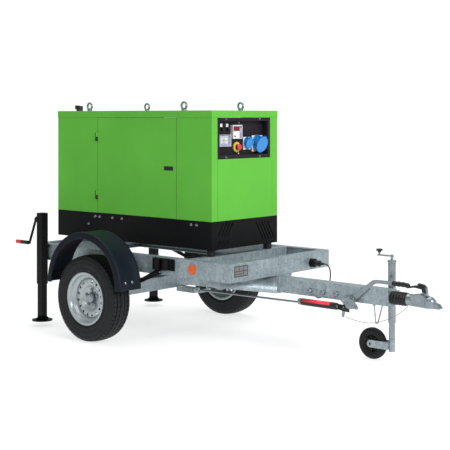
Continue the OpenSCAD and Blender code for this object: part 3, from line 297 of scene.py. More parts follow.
@once
def galvanised(name, color=(0.32, 0.385, 0.41), spangle=70.0, metal=0.5):
    """Hot-dip galvanised steel: crystal spangles of slightly different greys, runs and dull patches."""
    s = Shader(name, color, 0.42, metal)
    warp = s.add("ShaderNodeTexNoise", Scale=22.0, Detail=2.0)
    s.link(s.spot, warp.inputs["Vector"])
    shifted = s.add("ShaderNodeMix", data_type="VECTOR")
    shifted.inputs[0].default_value = 0.035
    s.link(s.spot, shifted.inputs[4])
    s.link(warp.outputs["Color"], shifted.inputs[5])
    cell = s.cells(spangle, shifted.outputs[1])
    tint = s.add("ShaderNodeSeparateColor")
    s.link(cell.outputs["Color"], tint.inputs["Color"])
    dark = tuple(c * 0.80 for c in color)
    light = tuple(min(1, c * 1.22) for c in color)
    tone = s.ramp(tint.outputs["Red"], [(0.0, dark), (0.5, color), (1.0, light)])
    clouds = s.noise(4.5, 7, 0.62)
    tone = s.mix(s.remap(clouds, 0.35, 0.7, 0.0, 0.5), tone, tuple(c * 0.62 for c in color))
    runs = s.noise(2.0, 5, 0.6, s.stretched((16.0, 16.0, 1.2)))
    tone = s.mix(s.remap(runs, 0.52, 0.68, 0.0, 0.4), tone, tuple(c * 1.45 for c in color))
    s.color(tone)
    s.rough(s.remap(tint.outputs["Green"], 0.0, 1.0, 0.32, 0.52))
    s.bump(s.noise(260.0, 3), 0.00008)
    return s.material


@once
def steel(name, color=(0.45, 0.47, 0.49), rough=0.3, metal=0.85, brushed=(1, 1, 1), wear=0.25):
    s = Shader(name, color, rough, metal)
    clouds = s.noise(18.0, 6, 0.6)
    tone = s.ramp(clouds, [(0.3, tuple(c * (1 - wear) for c in color)), (0.72, color)])
    s.color(tone)
    s.rough(s.remap(s.noise(40.0, 6, 0.6, s.stretched(brushed)), 0.3, 0.7, rough * 0.8, rough * 1.4))
    s.bump(s.noise(600.0, 2), 0.00003)
    return s.material


@once
def plastic(name, color, rough=0.5, grain=0.00012, scale=700.0, dusty=0.0, fade=1.25, gloss=0.5):
    """Moulded plastic or rubber: fine grain, slightly lighter where it has weathered."""
    s = Shader(name, color, rough)
    worn = tuple(min(1, c * fade + 0.002) for c in color)
    tone = s.ramp(s.noise(6.0, 6, 0.6), [(0.35, color), (0.75, worn)])
    if dusty:
        s.grime(dusty, 0.0, 0.75, dust=(0.16, 0.15, 0.135), clean=tone)
    else:
        s.color(tone)
    s.rough(s.remap(s.noise(30.0, 5), 0.3, 0.7, rough * 0.88, min(1, rough * 1.12)))
    s.bump(s.noise(scale, 3), grain)
    s.bsdf.inputs["Specular IOR Level"].default_value = gloss
    return s.material


@once
def clear(name, color=(0.8, 0.83, 0.85), rough=0.12, alpha=0.3):
    s = Shader(name, color, rough)
    s.bsdf.inputs["Alpha"].default_value = alpha
    s.rough(s.remap(s.noise(25.0, 4), 0.3, 0.7, rough * 0.7, rough * 1.6))
    return s.material


GREEN = (0.118, 0.455, 0.052)


def palette():
    """One material for every slot of the record."""
    return {
        "galvanised": galvanised("galvanised_steel"),
        "green_paint": paint("green_powder_coat", GREEN, 0.45, dusty=0.02, gloss=0.1),
        "black_paint": paint("black_powder_coat", (0.0035, 0.0035, 0.004), 0.45, grain=0.0001, gloss=0.14),
        "panel_black": paint("panel_coat", (0.012, 0.009, 0.014), 0.5, grain=0.00012, gloss=0.3),
        "fender_plastic": plastic("fender_plastic", (0.0045, 0.0075, 0.013), 0.5, 0.00018, 480.0, dusty=0.02,
                                  gloss=0.12),
        "tyre_rubber": plastic("tyre_rubber", (0.005, 0.0062, 0.0075), 0.6, 0.00015, 380.0, dusty=0.05,
                               gloss=0.25),
        "rim_silver": steel("wheel_lacquer", (0.44, 0.48, 0.49), 0.3, 0.45, wear=0.08),
        "zinc_steel": steel("zinc_plate", (0.31, 0.36, 0.38), 0.27, 0.8),
        "engine_grey": paint("engine_paint", (0.045, 0.052, 0.06), 0.5, grain=0.0004, scale=300.0),
        "engine_alu": steel("cast_alloy", (0.42, 0.43, 0.44), 0.5, 0.7),
        "dark_steel": steel("dark_steel", (0.05, 0.045, 0.042), 0.5, 0.7),
        "rubber": plastic("moulded_rubber", (0.005, 0.005, 0.0055), 0.5, 0.0001, 500.0, gloss=0.4),
        "grey_plastic": plastic("grey_plastic", (0.56, 0.58, 0.62), 0.42, 0.00005),
        "clear_plastic": clear("clear_plastic"),
        "red_plastic": plastic("red_plastic", (0.62, 0.035, 0.04), 0.3, 0.00002),
        "blue_plastic": plastic("blue_plastic", (0.016, 0.215, 0.58), 0.38, 0.00004),
        "black_plastic": plastic("black_plastic", (0.008, 0.008, 0.009), 0.45, 0.0001, gloss=0.4),
        "amber_lens": plastic("amber_lens", (0.60, 0.09, 0.006), 0.2, 0.00002),
        "cord_black": plastic("lead_sheath", (0.006, 0.006, 0.007), 0.5, 0.00005),
        "steel_cable": steel("cable_steel", (0.35, 0.36, 0.37), 0.35, 0.8),
    }


EXTRA = {
    "yellow": lambda: plastic("yellow_plastic", (0.72, 0.56, 0.03), 0.35, 0.00003),
    "white": lambda: plastic("white_plastic", (0.78, 0.77, 0.72), 0.4, 0.00003),
    "lavender": lambda: plastic("lavender_plastic", (0.30, 0.31, 0.42), 0.4, 0.00003),
    "display": lambda: plastic("display_glass", (0.16, 0.01, 0.02), 0.15, 0.00001),
    "red_lens": lambda: plastic("red_lens", (0.55, 0.01, 0.008), 0.18, 0.00002),
    "white_lens": lambda: plastic("white_lens", (0.75, 0.75, 0.72), 0.2, 0.00002),
    "dark_plate": lambda: paint("dark_plate_paint", (0.06, 0.062, 0.068), 0.45),
    "plate_grey": lambda: paint("plate_grey_paint", (0.17, 0.18, 0.19), 0.45),
    # Near-black paint used as painted shade: it darkens what shows through the wheel vents.
    "dark_gap": lambda: paint("shaded_paint", (0.006, 0.006, 0.007), 0.6),
}


def dress(obj, material, edge=0.0, steps=2):
    """Gives a piece its material, rounds its sharp edges and shades it smoothly between them."""
    obj.data.materials.clear()
    obj.data.materials.append(material)
    if edge:
        weld = obj.modifiers.new("weld", "WELD")
        weld.merge_threshold = 0.00002
        bevel = obj.modifiers.new("edges", "BEVEL")
        bevel.width = edge
        bevel.segments = steps
        bevel.limit_method = "ANGLE"
        bevel.angle_limit = math.radians(35)
        bevel.harden_normals = False
        normals = obj.modifiers.new("normals", "WEIGHTED_NORMAL")
        normals.keep_sharp = True
    for face in obj.data.polygons:
        face.use_smooth = True


MATERIALS = palette()
SLOT_OF = {row["node"]: row["material_slot"] for row in frame["record"]["subparts"]}
EDGES = {
    "galvanised": 0.002, "black_paint": 0.0015, "engine_grey": 0.003, "engine_alu": 0.002,
    "green_paint": 0.0012, "grey_plastic": 0.0015,
}


def look(name):
    """The material of a slot, or one of the extra ones."""
    return MATERIALS.get(name) or EXTRA[name]()


def repaint(node, name, where):
    """Gives the faces of a CAD node for which where(x, y, z) holds another material.

    The three numbers are the face's middle in millimetres from the axle, like those of place()."""
    mesh = NODES[node].data
    mesh.materials.append(look(name))
    index = len(mesh.materials) - 1
    for face in mesh.polygons:
        c = face.center
        if where((c.x - AXLE_X) / MM, c.y / MM, c.z / MM):
            face.material_index = index


# ---------- meshes ----------


def piece(name, bm, slot, body, edge=0.0, stands_for=(), steps=2, material=None):
    """Turns a bmesh into a piece that rides on a body."""
    bmesh.ops.recalc_face_normals(bm, faces=bm.faces)
    mesh = bpy.data.meshes.new(name)
    bm.to_mesh(mesh)
    bm.free()
    obj = bpy.data.objects.new(name, mesh)
    bpy.context.scene.collection.objects.link(obj)
    dress(obj, look(material or slot), edge, steps)
    if body:
        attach(obj, body)
    if stands_for:
        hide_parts(*stands_for)
    return obj


def grid(bm, rows, closed_rows=False):
    """Joins rows of points into faces. Each row is a closed ring of as many points."""
    made = [[bm.verts.new(p) for p in row] for row in rows]
    height, width = len(made), len(made[0])
    for i in range(height if closed_rows else height - 1):
        for k in range(width):
            a, b = made[i], made[(i + 1) % height]
            bm.faces.new((a[k], a[(k + 1) % width], b[(k + 1) % width], b[k]))
    return made


def close_end(bm, ring):
    bm.faces.new(ring)


def sweep(bm, points, radius, sides=10, twist=0.0, lobes=0.0):
    """A round tube along points; radius is a number or a function of the share of the way, 0 to 1.

    With lobes, every other side is drawn in by that share, and twist turns each ring further."""
    points = [Vector(p) for p in points]
    size = radius if callable(radius) else lambda t: radius
    last = len(points) - 1
    side = None
    rows = []
    for i, p in enumerate(points):
        way = (points[min(i + 1, last)] - points[max(i - 1, 0)]).normalized()
        if side is None:
            start = Vector((0, 0, 1)) if abs(way.z) < 0.9 else Vector((1, 0, 0))
            side = way.cross(start).normalized()
        side = (side - way * side.dot(way)).normalized()
        other = way.cross(side)
        r = size(i / last)
        rows.append([
            p + r * (1 - lobes * (k % 2)) * (math.cos(a) * side + math.sin(a) * other)
            for k, a in enumerate(twist * i + 2 * math.pi * k / sides for k in range(sides))
        ])
    made = grid(bm, rows)
    close_end(bm, made[0])
    close_end(bm, made[-1])


def smooth_line(points, steps):
    """More points on a smooth line through the given ones, as in the part's source."""
    line = []
    for i in range(len(points) - 1):
        a, b, c, d = (points[min(max(k, 0), len(points) - 1)] for k in (i - 1, i, i + 1, i + 2))
        for k in range(steps):
            t = k / steps
            line.append(0.5 * (2 * b + (c - a) * t + (2 * a - 5 * b + 4 * c - d) * t * t
                               + (3 * b - a - 3 * c + d) * t ** 3))
    return line + [points[-1]]


def lathe(bm, profile, center, axis, sides=64, closed=True):
    """Turns a profile of (radius, distance along the axis) about an axis through center."""
    axis = Vector(axis).normalized()
    first = axis.orthogonal().normalized()
    if abs(axis.y) > 0.9:
        first = Vector((0, 0, 1))
    second = axis.cross(first)
    rows = []
    for k in range(sides):
        a = 2 * math.pi * k / sides
        rim = math.cos(a) * first + math.sin(a) * second
        rows.append([center + rim * r * MM + axis * h * MM for r, h in profile])
    made = [[bm.verts.new(p) for p in row] for row in rows]
    count = len(profile)
    for k in range(sides):
        a, b = made[k], made[(k + 1) % sides]
        for i in range(count if closed else count - 1):
            j = (i + 1) % count
            bm.faces.new((a[i], a[j], b[j], b[i]))
    bmesh.ops.remove_doubles(bm, verts=bm.verts, dist=1e-6)


def arc(cx, cy, r, start, stop, steps):
    """Points on an arc; the angles are in degrees."""
    return [
        (cx + r * math.cos(math.radians(start + (stop - start) * k / steps)),
         cy + r * math.sin(math.radians(start + (stop - start) * k / steps)))
        for k in range(steps + 1)
    ]


def slab(bm, low, high, at=None):
    """A block between two corners, given in millimetres from the axle."""
    low, high = place(*low), place(*high)
    made = bmesh.ops.create_cube(bm, size=1.0)["verts"]
    for v in made:
        v.co = Vector(((low.x + high.x) / 2 + v.co.x * (high.x - low.x),
                       (low.y + high.y) / 2 + v.co.y * (high.y - low.y),
                       (low.z + high.z) / 2 + v.co.z * (high.z - low.z)))
        if at is not None:
            v.co = at @ v.co


def hexagon(bm, center, axis, af, height):
    """A chamfered hexagon head with its washer."""
    axis = Vector(axis).normalized()
    first = axis.orthogonal().normalized()
    second = axis.cross(first)

    def ring(r, h, sides, turn=0.0):
        return [bm.verts.new(center + (math.cos(2 * math.pi * k / sides + turn) * first
                + math.sin(2 * math.pi * k / sides + turn) * second) * r * MM + axis * h * MM)
                for k in range(sides)]

    washer = [ring(af * 0.78, 0, 24), ring(af * 0.78, af * 0.11, 24), ring(af * 0.6, af * 0.13, 24)]
    for a, b in zip(washer, washer[1:]):
        for k in range(24):
            bm.faces.new((a[k], a[(k + 1) % 24], b[(k + 1) % 24], b[k]))
    close_end(bm, washer[-1])
    close_end(bm, washer[0])
    head = [ring(af / math.sqrt(3), af * 0.1, 6), ring(af / math.sqrt(3), height * 0.85, 6),
            ring(af * 0.47, height, 6)]
    for a, b in zip(head, head[1:]):
        for k in range(6):
            bm.faces.new((a[k], a[(k + 1) % 6], b[(k + 1) % 6], b[k]))
    close_end(bm, head[-1])
    close_end(bm, head[0])


def dome(bm, center, axis, r, height):
    """A low round head on a surface."""
    steps = 6
    profile = [(0, 0), (r, 0)] + [
        (r * math.cos(math.pi / 2 * k / steps), height * (0.25 + 0.75 * math.sin(math.pi / 2 * k / steps)))
        for k in range(steps + 1)
    ]
    lathe(bm, profile, Vector(center), axis, 32, closed=False)


def weld(bm, start, end, thick=3.2):
    """A rippled weld bead between two points."""
    a, b = place(*start), place(*end)
    count = max(4, int((b - a).length / 0.0022))
    points = [a.lerp(b, k / count) for k in range(count + 1)]
    sweep(bm, points, lambda t: thick * MM * (0.86 + 0.14 * math.cos(t * count * math.pi)), 8)


def plate(bm, outline, y0, y1):
    """An upright plate between two distances from the middle plane; outline is (x, z)."""
    front = [bm.verts.new(place(x, y0, z)) for x, z in outline]
    back = [bm.verts.new(place(x, y1, z)) for x, z in outline]
    bm.faces.new(front)
    bm.faces.new(list(reversed(back)))
    for k in range(len(outline)):
        n = (k + 1) % len(outline)
        bm.faces.new((front[n], front[k], back[k], back[n]))


def rounded(outline, steps=5):
    """The same closed outline with a smooth line through its points."""
    count = len(outline)
    line = []
    for i in range(count):
        a, b, c, d = (Vector(outline[(i + k) % count]) for k in (-1, 0, 1, 2))
        for k in range(steps):
            t = k / steps
            p = 0.5 * (2 * b + (c - a) * t + (2 * a - 5 * b + 4 * c - d) * t * t
                       + (3 * b - a - 3 * c + d) * t ** 3)
            line.append((p.x, p.y))
    return line


# ---------- cords ----------

LEAD_ROUTE = [
    (1205.2, 330, 527), (1222, 330, 526.6), (1240, 332, 517), (1251, 335, 492), (1254, 336, 462),
    (1254, 334, 432), (1254, 328, 402), (1255, 315, 374), (1257, 294, 350), (1260, 266, 333),
    (1264, 234, 324), (1269, 200, 321), (1275, 166, 324), (1281, 136, 334), (1289, 108, 350),
    (1296, 88, 372), (1301, 81, 396), (1304, 73, 413), (1305, 64, 420), (1305, 56.3, 420),
]
CABLE_REAR = [
    (1648, -56.7, 272), (1664, -54, 268), (1682, -50, 263), (1700, -46, 258), (1720, -41, 254),
    (1742, -36, 250), (1766, -31, 247), (1790, -26, 246), (1814, -21, 247), (1836, -16, 250),
    (1856, -13, 255),
]
CABLE_FRONT = [
    (1856, -13, 255), (1875, -11, 260), (1894, -11, 266), (1914, -12, 273), (1934, -13, 281),
    (1954, -14, 290), (1974, -15, 300), (1994, -16, 311), (2013, -17, 323), (2031, -18, 335),
    (2048, -19, 348), (2064, -20, 360), (2078, -20, 372), (2086, -20, 383),
]


def cord_line(route, steps=6):
    return smooth_line([place(*p) for p in route], steps)


def lead():
    """The trailer's lighting lead, from the grommet in the drawbar to the plug in its holder."""
    line = cord_line(list(reversed(LEAD_ROUTE)))
    bm = bmesh.new()
    sweep(bm, line, 0.0045, 14)
    obj = piece("lighting_lead_sheath", bm, "cord_black", "chassis", stands_for=["lighting_lead"])


def cable(name, route, from_guide):
    """One half of the breakaway cable: six twisted strands from the guide to what it pulls."""
    line = cord_line(route, 5)
    if not from_guide:
        line.reverse()
    bm = bmesh.new()
    sweep(bm, line, 0.002, 12, twist=0.35, lobes=0.22)
    obj = piece(name, bm, "steel_cable", None, stands_for=["breakaway_cable"])
    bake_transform(obj)


# ---------- wheels ----------

WHEEL_R = (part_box("tyre_right")[1].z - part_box("tyre_right")[0].z) / 2 / MM
TYRE_HALF = (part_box("tyre_right")[1].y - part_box("tyre_right")[0].y) / 2 / MM
RIM_SEAT = 165
PITCHES = 58
TREAD_DEPTH = 14
TREAD_HALF = 72
AXLE_Z = 295
TRACK_Y = abs(middle("tyre_right").y) / MM


def groove_depth(off_middle, cut):
    """Depth of the tread that far from its middle: deep rings all round, and slots where cut is set."""
    if 45.5 <= off_middle <= 50.5 or 14.5 <= off_middle <= 19.5:
        return 7.0
    if cut and off_middle >= 51.5:
        return 6.0
    if cut and 20.5 <= off_middle <= 44.5:
        return 3.5
    return 0.0


def tyre(side):
    """A van tyre: ribs and slanted grooves on the tread, rings on the side walls."""
    name = side_name(side)
    center = middle(f"tyre_{name}")
    r = WHEEL_R
    h = TYRE_HALF
    outline = [(RIM_SEAT + 1, -70), (186, -71), (190, -76), (196, -79), (198, -81.5), (204, -82),
               (206, -80.5), (222, -h + 0.8), (240, -h), (246, -h), (248, -h + 1.6), (258, -h + 2.6),
               (260, -h + 1.4), (264, -h + 1.8), (266, -h + 4.2), (274, -h + 7.4), (281, -h + 11.5)]
    tread = [-70, -66, -57, -51.5, -50.5, -45.5, -44.5, -30, -20.5, -19.5, -14.5, -13.5, 0]
    tread = tread + [-y for y in reversed(tread[:-1])]
    crown = [(r - 0.00009 * abs(y) ** 2.65, y) for y in tread]
    inner = [(RIM_SEAT + 1, 62), (r - 60, 72), (r - 22, 60), (r - 15, 0), (r - 22, -60), (r - 60, -72),
             (RIM_SEAT + 1, -62)]
    profile = outline + crown + [(a, -b) for a, b in reversed(outline)] + inner
    shares = [(0.0, 1), (0.10, 1), (0.17, 0), (0.42, 0), (0.60, 0), (0.93, 0)]
    bm = bmesh.new()
    rows = []
    for p in range(PITCHES):
        for share, cut in shares:
            row = []
            for radius, y in profile:
                on_tread = radius > r - TREAD_DEPTH and abs(y) <= TREAD_HALF
                drop = groove_depth(abs(y), cut) if on_tread else 0.0
                lean = 0.35 * math.sin(math.radians(abs(y) * 1.9)) if on_tread else 0.0
                angle = 2 * math.pi * (p + share + lean) / PITCHES
                rim = Vector((math.sin(angle), 0, math.cos(angle)))
                row.append(center + rim * (radius - drop) * MM + Vector((0, y * side * -1 * MM, 0)))
            rows.append(row)
    grid(bm, rows, closed_rows=True)
    obj = piece(f"tyre_tread_{name}", bm, "tyre_rubber", f"wheel_{name}", stands_for=[f"tyre_{name}"])
    for face in obj.data.polygons:
        c = face.center - center
        if math.hypot(c.x, c.z) > (r - TREAD_DEPTH) * MM and abs(c.y) < TREAD_HALF * MM:
            face.use_smooth = False


VENT_R = 117
VENT_COUNT = 16
BOLT_R = 56
BOLT_COUNT = 5


def wheel_rim(side):
    """Pressed steel wheel: barrel, dished disc with round vents, bolts, hub cap, and a brake drum in
    near-black paint as painted shade seen through the vents.
    """
    name = side_name(side)
    body = f"wheel_{name}"
    low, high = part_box(f"rim_{name}")
    half = max(abs(low.y), abs(high.y)) / MM - TRACK_Y
    drum = TRACK_Y - min(abs(low.y), abs(high.y)) / MM
    spot = place(0, side * TRACK_Y, AXLE_Z)
    out = (0, side, 0)
    edge = [(161, half - 9), (165, half - 3.5), (171, half - 1.2), (177, half - 0.6), (179.5, half - 1.8),
            (180, half - 4), (181, half), (182, half - 3), (181.6, half - 6), (179, half - 7.6),
            (170, half - 8)]
    inner = [(r, -o) for r, o in reversed(edge)]
    profile = ([(136.4, -28), (136.4, 26), (139, 34), (148, 41), (158, 46)] + edge
               + [(165, half - 10), (165, 50), (152, 44), (143, 36), (140, 28), (140, -30), (143, -37),
                  (165, -52), (165, 10 - half)] + inner + [(161, -52), (158, -48), (140, -34)])
    bm = bmesh.new()
    lathe(bm, profile, spot, out, 96)
    piece(f"rim_barrel_{name}", bm, "rim_silver", body, stands_for=[f"rim_{name}"])
    face = [(30, 9), (64, 9), (72, 10.5), (79, 16), (86, 25), (92, 29.4), (98, 31), (126, 31), (131, 29.5),
            (134, 26), (135.9, 20)]
    back = [(r, o - 4) for r, o in reversed(face)]
    bm = bmesh.new()
    lathe(bm, face + back, spot, out, 128)
    disc = piece(f"rim_disc_{name}", bm, "rim_silver", body)
    bm = bmesh.new()
    for k in range(VENT_COUNT):
        turn = math.tau * (k + 0.5) / VENT_COUNT
        hole = spot + Vector((VENT_R * math.sin(turn), 0, VENT_R * math.cos(turn))) * MM
        lathe(bm, [(0, 20), (8.5, 20), (8.5, 40), (0, 40)], hole, out, 24, closed=False)
    bmesh.ops.recalc_face_normals(bm, faces=bm.faces)
    mesh = bpy.data.meshes.new("vents")
    bm.to_mesh(mesh)
    cutter = bpy.data.objects.new("vents", mesh)
    bpy.context.scene.collection.objects.link(cutter)
    cut = disc.modifiers.new("vents", "BOOLEAN")
    cut.object = cutter
    cut.solver = "EXACT"
    with bpy.context.temp_override(object=disc, active_object=disc):
        bpy.ops.object.modifier_apply(modifier="vents")
    bpy.data.objects.remove(cutter)
    bm = bmesh.new()
    # Brake drum in near-black paint: painted shade seen through the disc's vents.
    lathe(bm, [(20, -2), (70, -2), (104, -18), (107, -21), (107, 3 - drum), (20, 3 - drum)], spot, out, 64)
    piece(f"brake_drum_{name}", bm, "dark_steel", body, material="dark_gap")
    bm = bmesh.new()
    lathe(bm, [(29.5, 5), (33.5, 5), (33.5, 24), (31, 32), (26, 35.4), (18, 36), (0, 36), (0, 33), (18, 33),
               (25, 32), (29.5, 22)], spot, out, 48)
    for k in range(BOLT_COUNT):
        turn = math.tau * k / BOLT_COUNT
        bolt = spot + Vector((BOLT_R * math.sin(turn), side * 9, BOLT_R * math.cos(turn))) * MM
        hexagon(bm, bolt, out, 17, 12)
    piece(f"hub_cap_{name}", bm, "zinc_steel", body)


FENDER_Z = 382


def fender(side):
    """Half-round plastic fender with a rolled outer edge and a stiffening step."""
    name = side_name(side)
    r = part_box("fenders")[1].z / MM - FENDER_Z
    center = place(0, 0, FENDER_Z)
    outer = TRACK_Y + 100
    inner = TRACK_Y - 100
    profile = [(r - 48, outer - 3.2), (r - 47, outer - 0.4), (r - 43, outer), (r - 10, outer),
               (r - 4, outer - 2.5), (r - 0.6, outer - 8), (r, outer - 14), (r, outer - 30),
               (r - 3, outer - 35), (r - 3, inner + 24), (r - 0.5, inner + 19), (r - 0.5, inner + 3),
               (r - 4, inner), (r - 12, inner + 0.2), (r - 12, inner + 3.5), (r - 6.5, inner + 4),
               (r - 7, outer - 36), (r - 4.5, outer - 14), (r - 11, outer - 5), (r - 43, outer - 4.4)]
    steps = 96
    rows = []
    for k in range(steps + 1):
        turn = math.pi * k / steps
        way = Vector((math.cos(turn), 0, math.sin(turn)))
        rows.append([center + way * out * MM + Vector((0, side * y * MM, 0)) for out, y in profile])
    bm = bmesh.new()
    made = grid(bm, rows)
    close_end(bm, made[0])
    close_end(bm, made[-1])
    piece(f"fender_shell_{name}", bm, "fender_plastic", "chassis")
    bm = bmesh.new()
    for way in (-1, 1):
        for y in (TRACK_Y + 40, TRACK_Y - 20):
            turn = math.asin(53 / r)
            spot = place(way * (r - 3.2) * math.cos(turn), side * y, FENDER_Z + (r - 3.2) * math.sin(turn))
            dome(bm, spot, (way * math.cos(turn), 0, math.sin(turn)), 9, 4.5)
    piece(f"fender_bolts_{name}", bm, "zinc_steel", "chassis")


STAY_GRIP = 358.4
STAY_FOOT = 474
STAY_LOW, STAY_TOP = 420, 450
RAIL_Y = 535


def fender_stays(side):
    """Flat bars that carry a fender: along its inside, then slanting to a bolted foot on the rail."""
    name = side_name(side)
    bm = bmesh.new()
    bolts = bmesh.new()
    edge = TRACK_Y - 110
    for way in (-1, 1):
        near, far = sorted((way * (STAY_GRIP - 5), way * STAY_GRIP))
        y0, y1 = sorted((side * edge, side * (edge + 170)))
        slab(bm, (near, y0, STAY_LOW), (far, y1, STAY_TOP))
        strip = [(near, STAY_LOW), (far, STAY_LOW), (far, STAY_TOP), (near, STAY_TOP)]
        foot = [(way * STAY_FOOT - 22, 486), (way * STAY_FOOT + 22, 486), (way * STAY_FOOT + 22, 514),
                (way * STAY_FOOT - 22, 514)]
        rings = [[bm.verts.new(place(x, side * y, z)) for x, z in outline]
                 for outline, y in ((strip, edge + 0.5), (foot, RAIL_Y + 4.7), (foot, RAIL_Y + 0.2))]
        for one, two in zip(rings, rings[1:]):
            for k in range(4):
                bm.faces.new((one[k], one[(k + 1) % 4], two[(k + 1) % 4], two[k]))
        close_end(bm, rings[0])
        close_end(bm, rings[-1])
        for x in (-12, 12):
            hexagon(bolts, place(way * STAY_FOOT + x, side * (RAIL_Y + 4.7), 500), (0, side, 0), 13, 8)
    piece(f"fender_stays_{name}", bm, "black_paint", "chassis", edge=0.001, stands_for=["fenders"])
    piece(f"stay_bolts_{name}", bolts, "zinc_steel", "chassis")


# ---------- control panel ----------

BACK_X = 727
TILT = math.radians(20)
SOCKET_RISE = 9


def socket_lid(node, y, z, r, lid_r, reach):
    """A sprung socket lid: dished disc with a raised rim, hinge knuckles and a thumb tab."""
    ahead = Vector((math.cos(TILT), 0, -math.sin(TILT)))
    up = Vector((math.sin(TILT), 0, math.cos(TILT)))
    base = place(BACK_X, y, z + SOCKET_RISE)
    h = reach + 0.5
    profile = [(0, h), (lid_r - 4, h), (lid_r - 1.2, h + 0.8), (lid_r, h + 2.6), (lid_r, h + 8),
               (lid_r - 1.2, h + 10.3), (lid_r - 3.5, h + 11), (lid_r - 6, h + 10.4), (lid_r - 8, h + 8.2),
               (lid_r - 11, h + 7.6), (lid_r * 0.45, h + 8.6), (0, h + 8.9)]
    bm = bmesh.new()
    lathe(bm, profile, base, ahead, 72, closed=False)

    def brick(low, high):
        made = bmesh.ops.create_cube(bm, size=1.0)["verts"]
        for v in made:
            a, b, c = ((lo + hi) / 2 + t * (hi - lo) for t, lo, hi in zip(v.co, low, high))
            v.co = base + (ahead * a + Vector((0, b, 0)) + up * c) * MM

    brick((reach - 6, -r * 0.5 + 0.6, r + 2), (reach + 10, r * 0.5 - 0.6, r + 8))
    brick((reach + 2, -8, -lid_r - 4), (reach + 8, 8, -lid_r + 3))
    piece(f"{node}_cover", bm, "blue_plastic", node, edge=0.0006, stands_for=[node])
    bm = bmesh.new()
    hinge = base + (ahead * (reach - 4) + up * (r + 5)) * MM
    reach_y = Vector((0, (r * 0.5 + 4) * MM, 0))
    sweep(bm, [hinge - reach_y, hinge + reach_y], 0.0019, 14)
    piece(f"{node}_pin", bm, "zinc_steel", node)


def stop_button():
    """Mushroom of the emergency stop, and the black ring that it comes out of."""
    spot = place(BACK_X, -39, 1329)
    bm = bmesh.new()
    lathe(bm, [(0, -2), (10.6, -2), (10.6, 18), (13, 22), (18, 23.6), (21, 25.4), (22, 28.5), (21.6, 32),
               (19.4, 35.4), (15, 37.4), (8, 38), (0, 38)], spot, (1, 0, 0), 48, closed=False)
    piece("stop_button_mushroom", bm, "red_plastic", "stop_button", stands_for=["stop_button"])
    bm = bmesh.new()
    lathe(bm, [(11.5, 8.1), (18, 8.1), (17.4, 11), (15.5, 12), (11.5, 12)], spot, (1, 0, 0), 40)
    piece("stop_button_ring", bm, "black_plastic", "chassis")


def controller():
    """Face of the controller: dark display, keys, lamps and a plain field with a socket."""
    face = BACK_X + 25
    bm = bmesh.new()
    slab(bm, (face + 0.2, -97, 1391), (face + 1.2, -37, 1433))
    piece("controller_field", bm, "grey_plastic", "chassis", edge=0.0003, material="white")
    bm = bmesh.new()
    slab(bm, (face + 0.2, -32, 1391), (face + 1.2, -6, 1476))
    piece("controller_keypad", bm, "grey_plastic", "chassis", edge=0.0003, material="lavender")
    bm = bmesh.new()
    for z in (1398, 1409, 1420):
        dome(bm, place(face + 1.2, -19, z), (1, 0, 0), 3.6, 2.0)
    slab(bm, (face + 1.2, -88, 1398), (face + 3, -74, 1408))
    slab(bm, (face + 1.2, -26, 1462), (face + 2, -12, 1471))
    piece("controller_keys", bm, "black_plastic", "chassis", edge=0.0003)
    bm = bmesh.new()
    for z in (1436, 1446, 1456):
        dome(bm, place(face + 1.2, -25, z), (1, 0, 0), 1.5, 1.2)
    piece("controller_lamps", bm, "red_plastic", "chassis")


def breakers():
    """Row of breaker modules behind the window, each with its own toggle."""
    bm = bmesh.new()
    toggles = bmesh.new()
    for y in (-243, -225.4, -189.5, -171.9):
        slab(bm, (BACK_X + 26.2, y, 1356), (BACK_X + 28.4, y + 16.6, 1394))
        slab(toggles, (BACK_X + 28.4, y + 4, 1371), (BACK_X + 30.2, y + 12.6, 1381))
    piece("breaker_modules", bm, "grey_plastic", "chassis", edge=0.0005, material="white")
    piece("breaker_toggles", toggles, "black_plastic", "chassis", edge=0.0004)


def panel_colours():
    """Colours of the instruments that share one node."""
    repaint("panel_instruments", "lavender", lambda x, y, z: y < -130 and z < 1420)
    repaint("panel_instruments", "display", lambda x, y, z: x > 752.5 and -95 < y < -33 and z > 1438)
    repaint("panel_instruments", "yellow", lambda x, y, z: -76 < y < -2 and z < 1366 and z > 1292)
    repaint("panel_instruments", "white", lambda x, y, z: y > 30 and x < 731.5)
    repaint("panel_instruments", "blue_plastic", lambda x, y, z: y > 30 and x >= 731.5)
    repaint("panel_instruments", "white", lambda x, y, z: y < -110 and z > 1467)
    repaint("panel_instruments", "black_plastic", lambda x, y, z: y < -110 and 1420 < z < 1467)
    repaint("control_panel", "zinc_steel", lambda x, y, z: x > 777.5)


# ---------- lamps ----------

FRAME_REAR_X = -800
REFLECTOR_X, REFLECTOR_Z = 776, 539

def side_reflector(side):
    spot = place(REFLECTOR_X, side * RAIL_Y, REFLECTOR_Z)
    way = (0, side, 0)
    bm = bmesh.new()
    lathe(bm, [(0, 0), (32.5, 0), (32.5, 6.5), (31, 8.6), (29, 9), (28, 7), (0, 6)], spot, way, 56,
          closed=False)
    name = side_name(side)
    piece(f"reflector_ring_{name}", bm, "amber_lens", "chassis", stands_for=["lamps"])
    bm = bmesh.new()
    dome(bm, spot + Vector((0, side * 6.2 * MM, 0)), way, 27.5, 2.2)
    piece(f"reflector_lens_{name}", bm, "amber_lens", "chassis")
    bm = bmesh.new()
    dome(bm, spot + Vector((0, side * 8.2 * MM, 0)), way, 3.4, 0.8)
    piece(f"reflector_screw_{name}", bm, "dark_steel", "chassis")


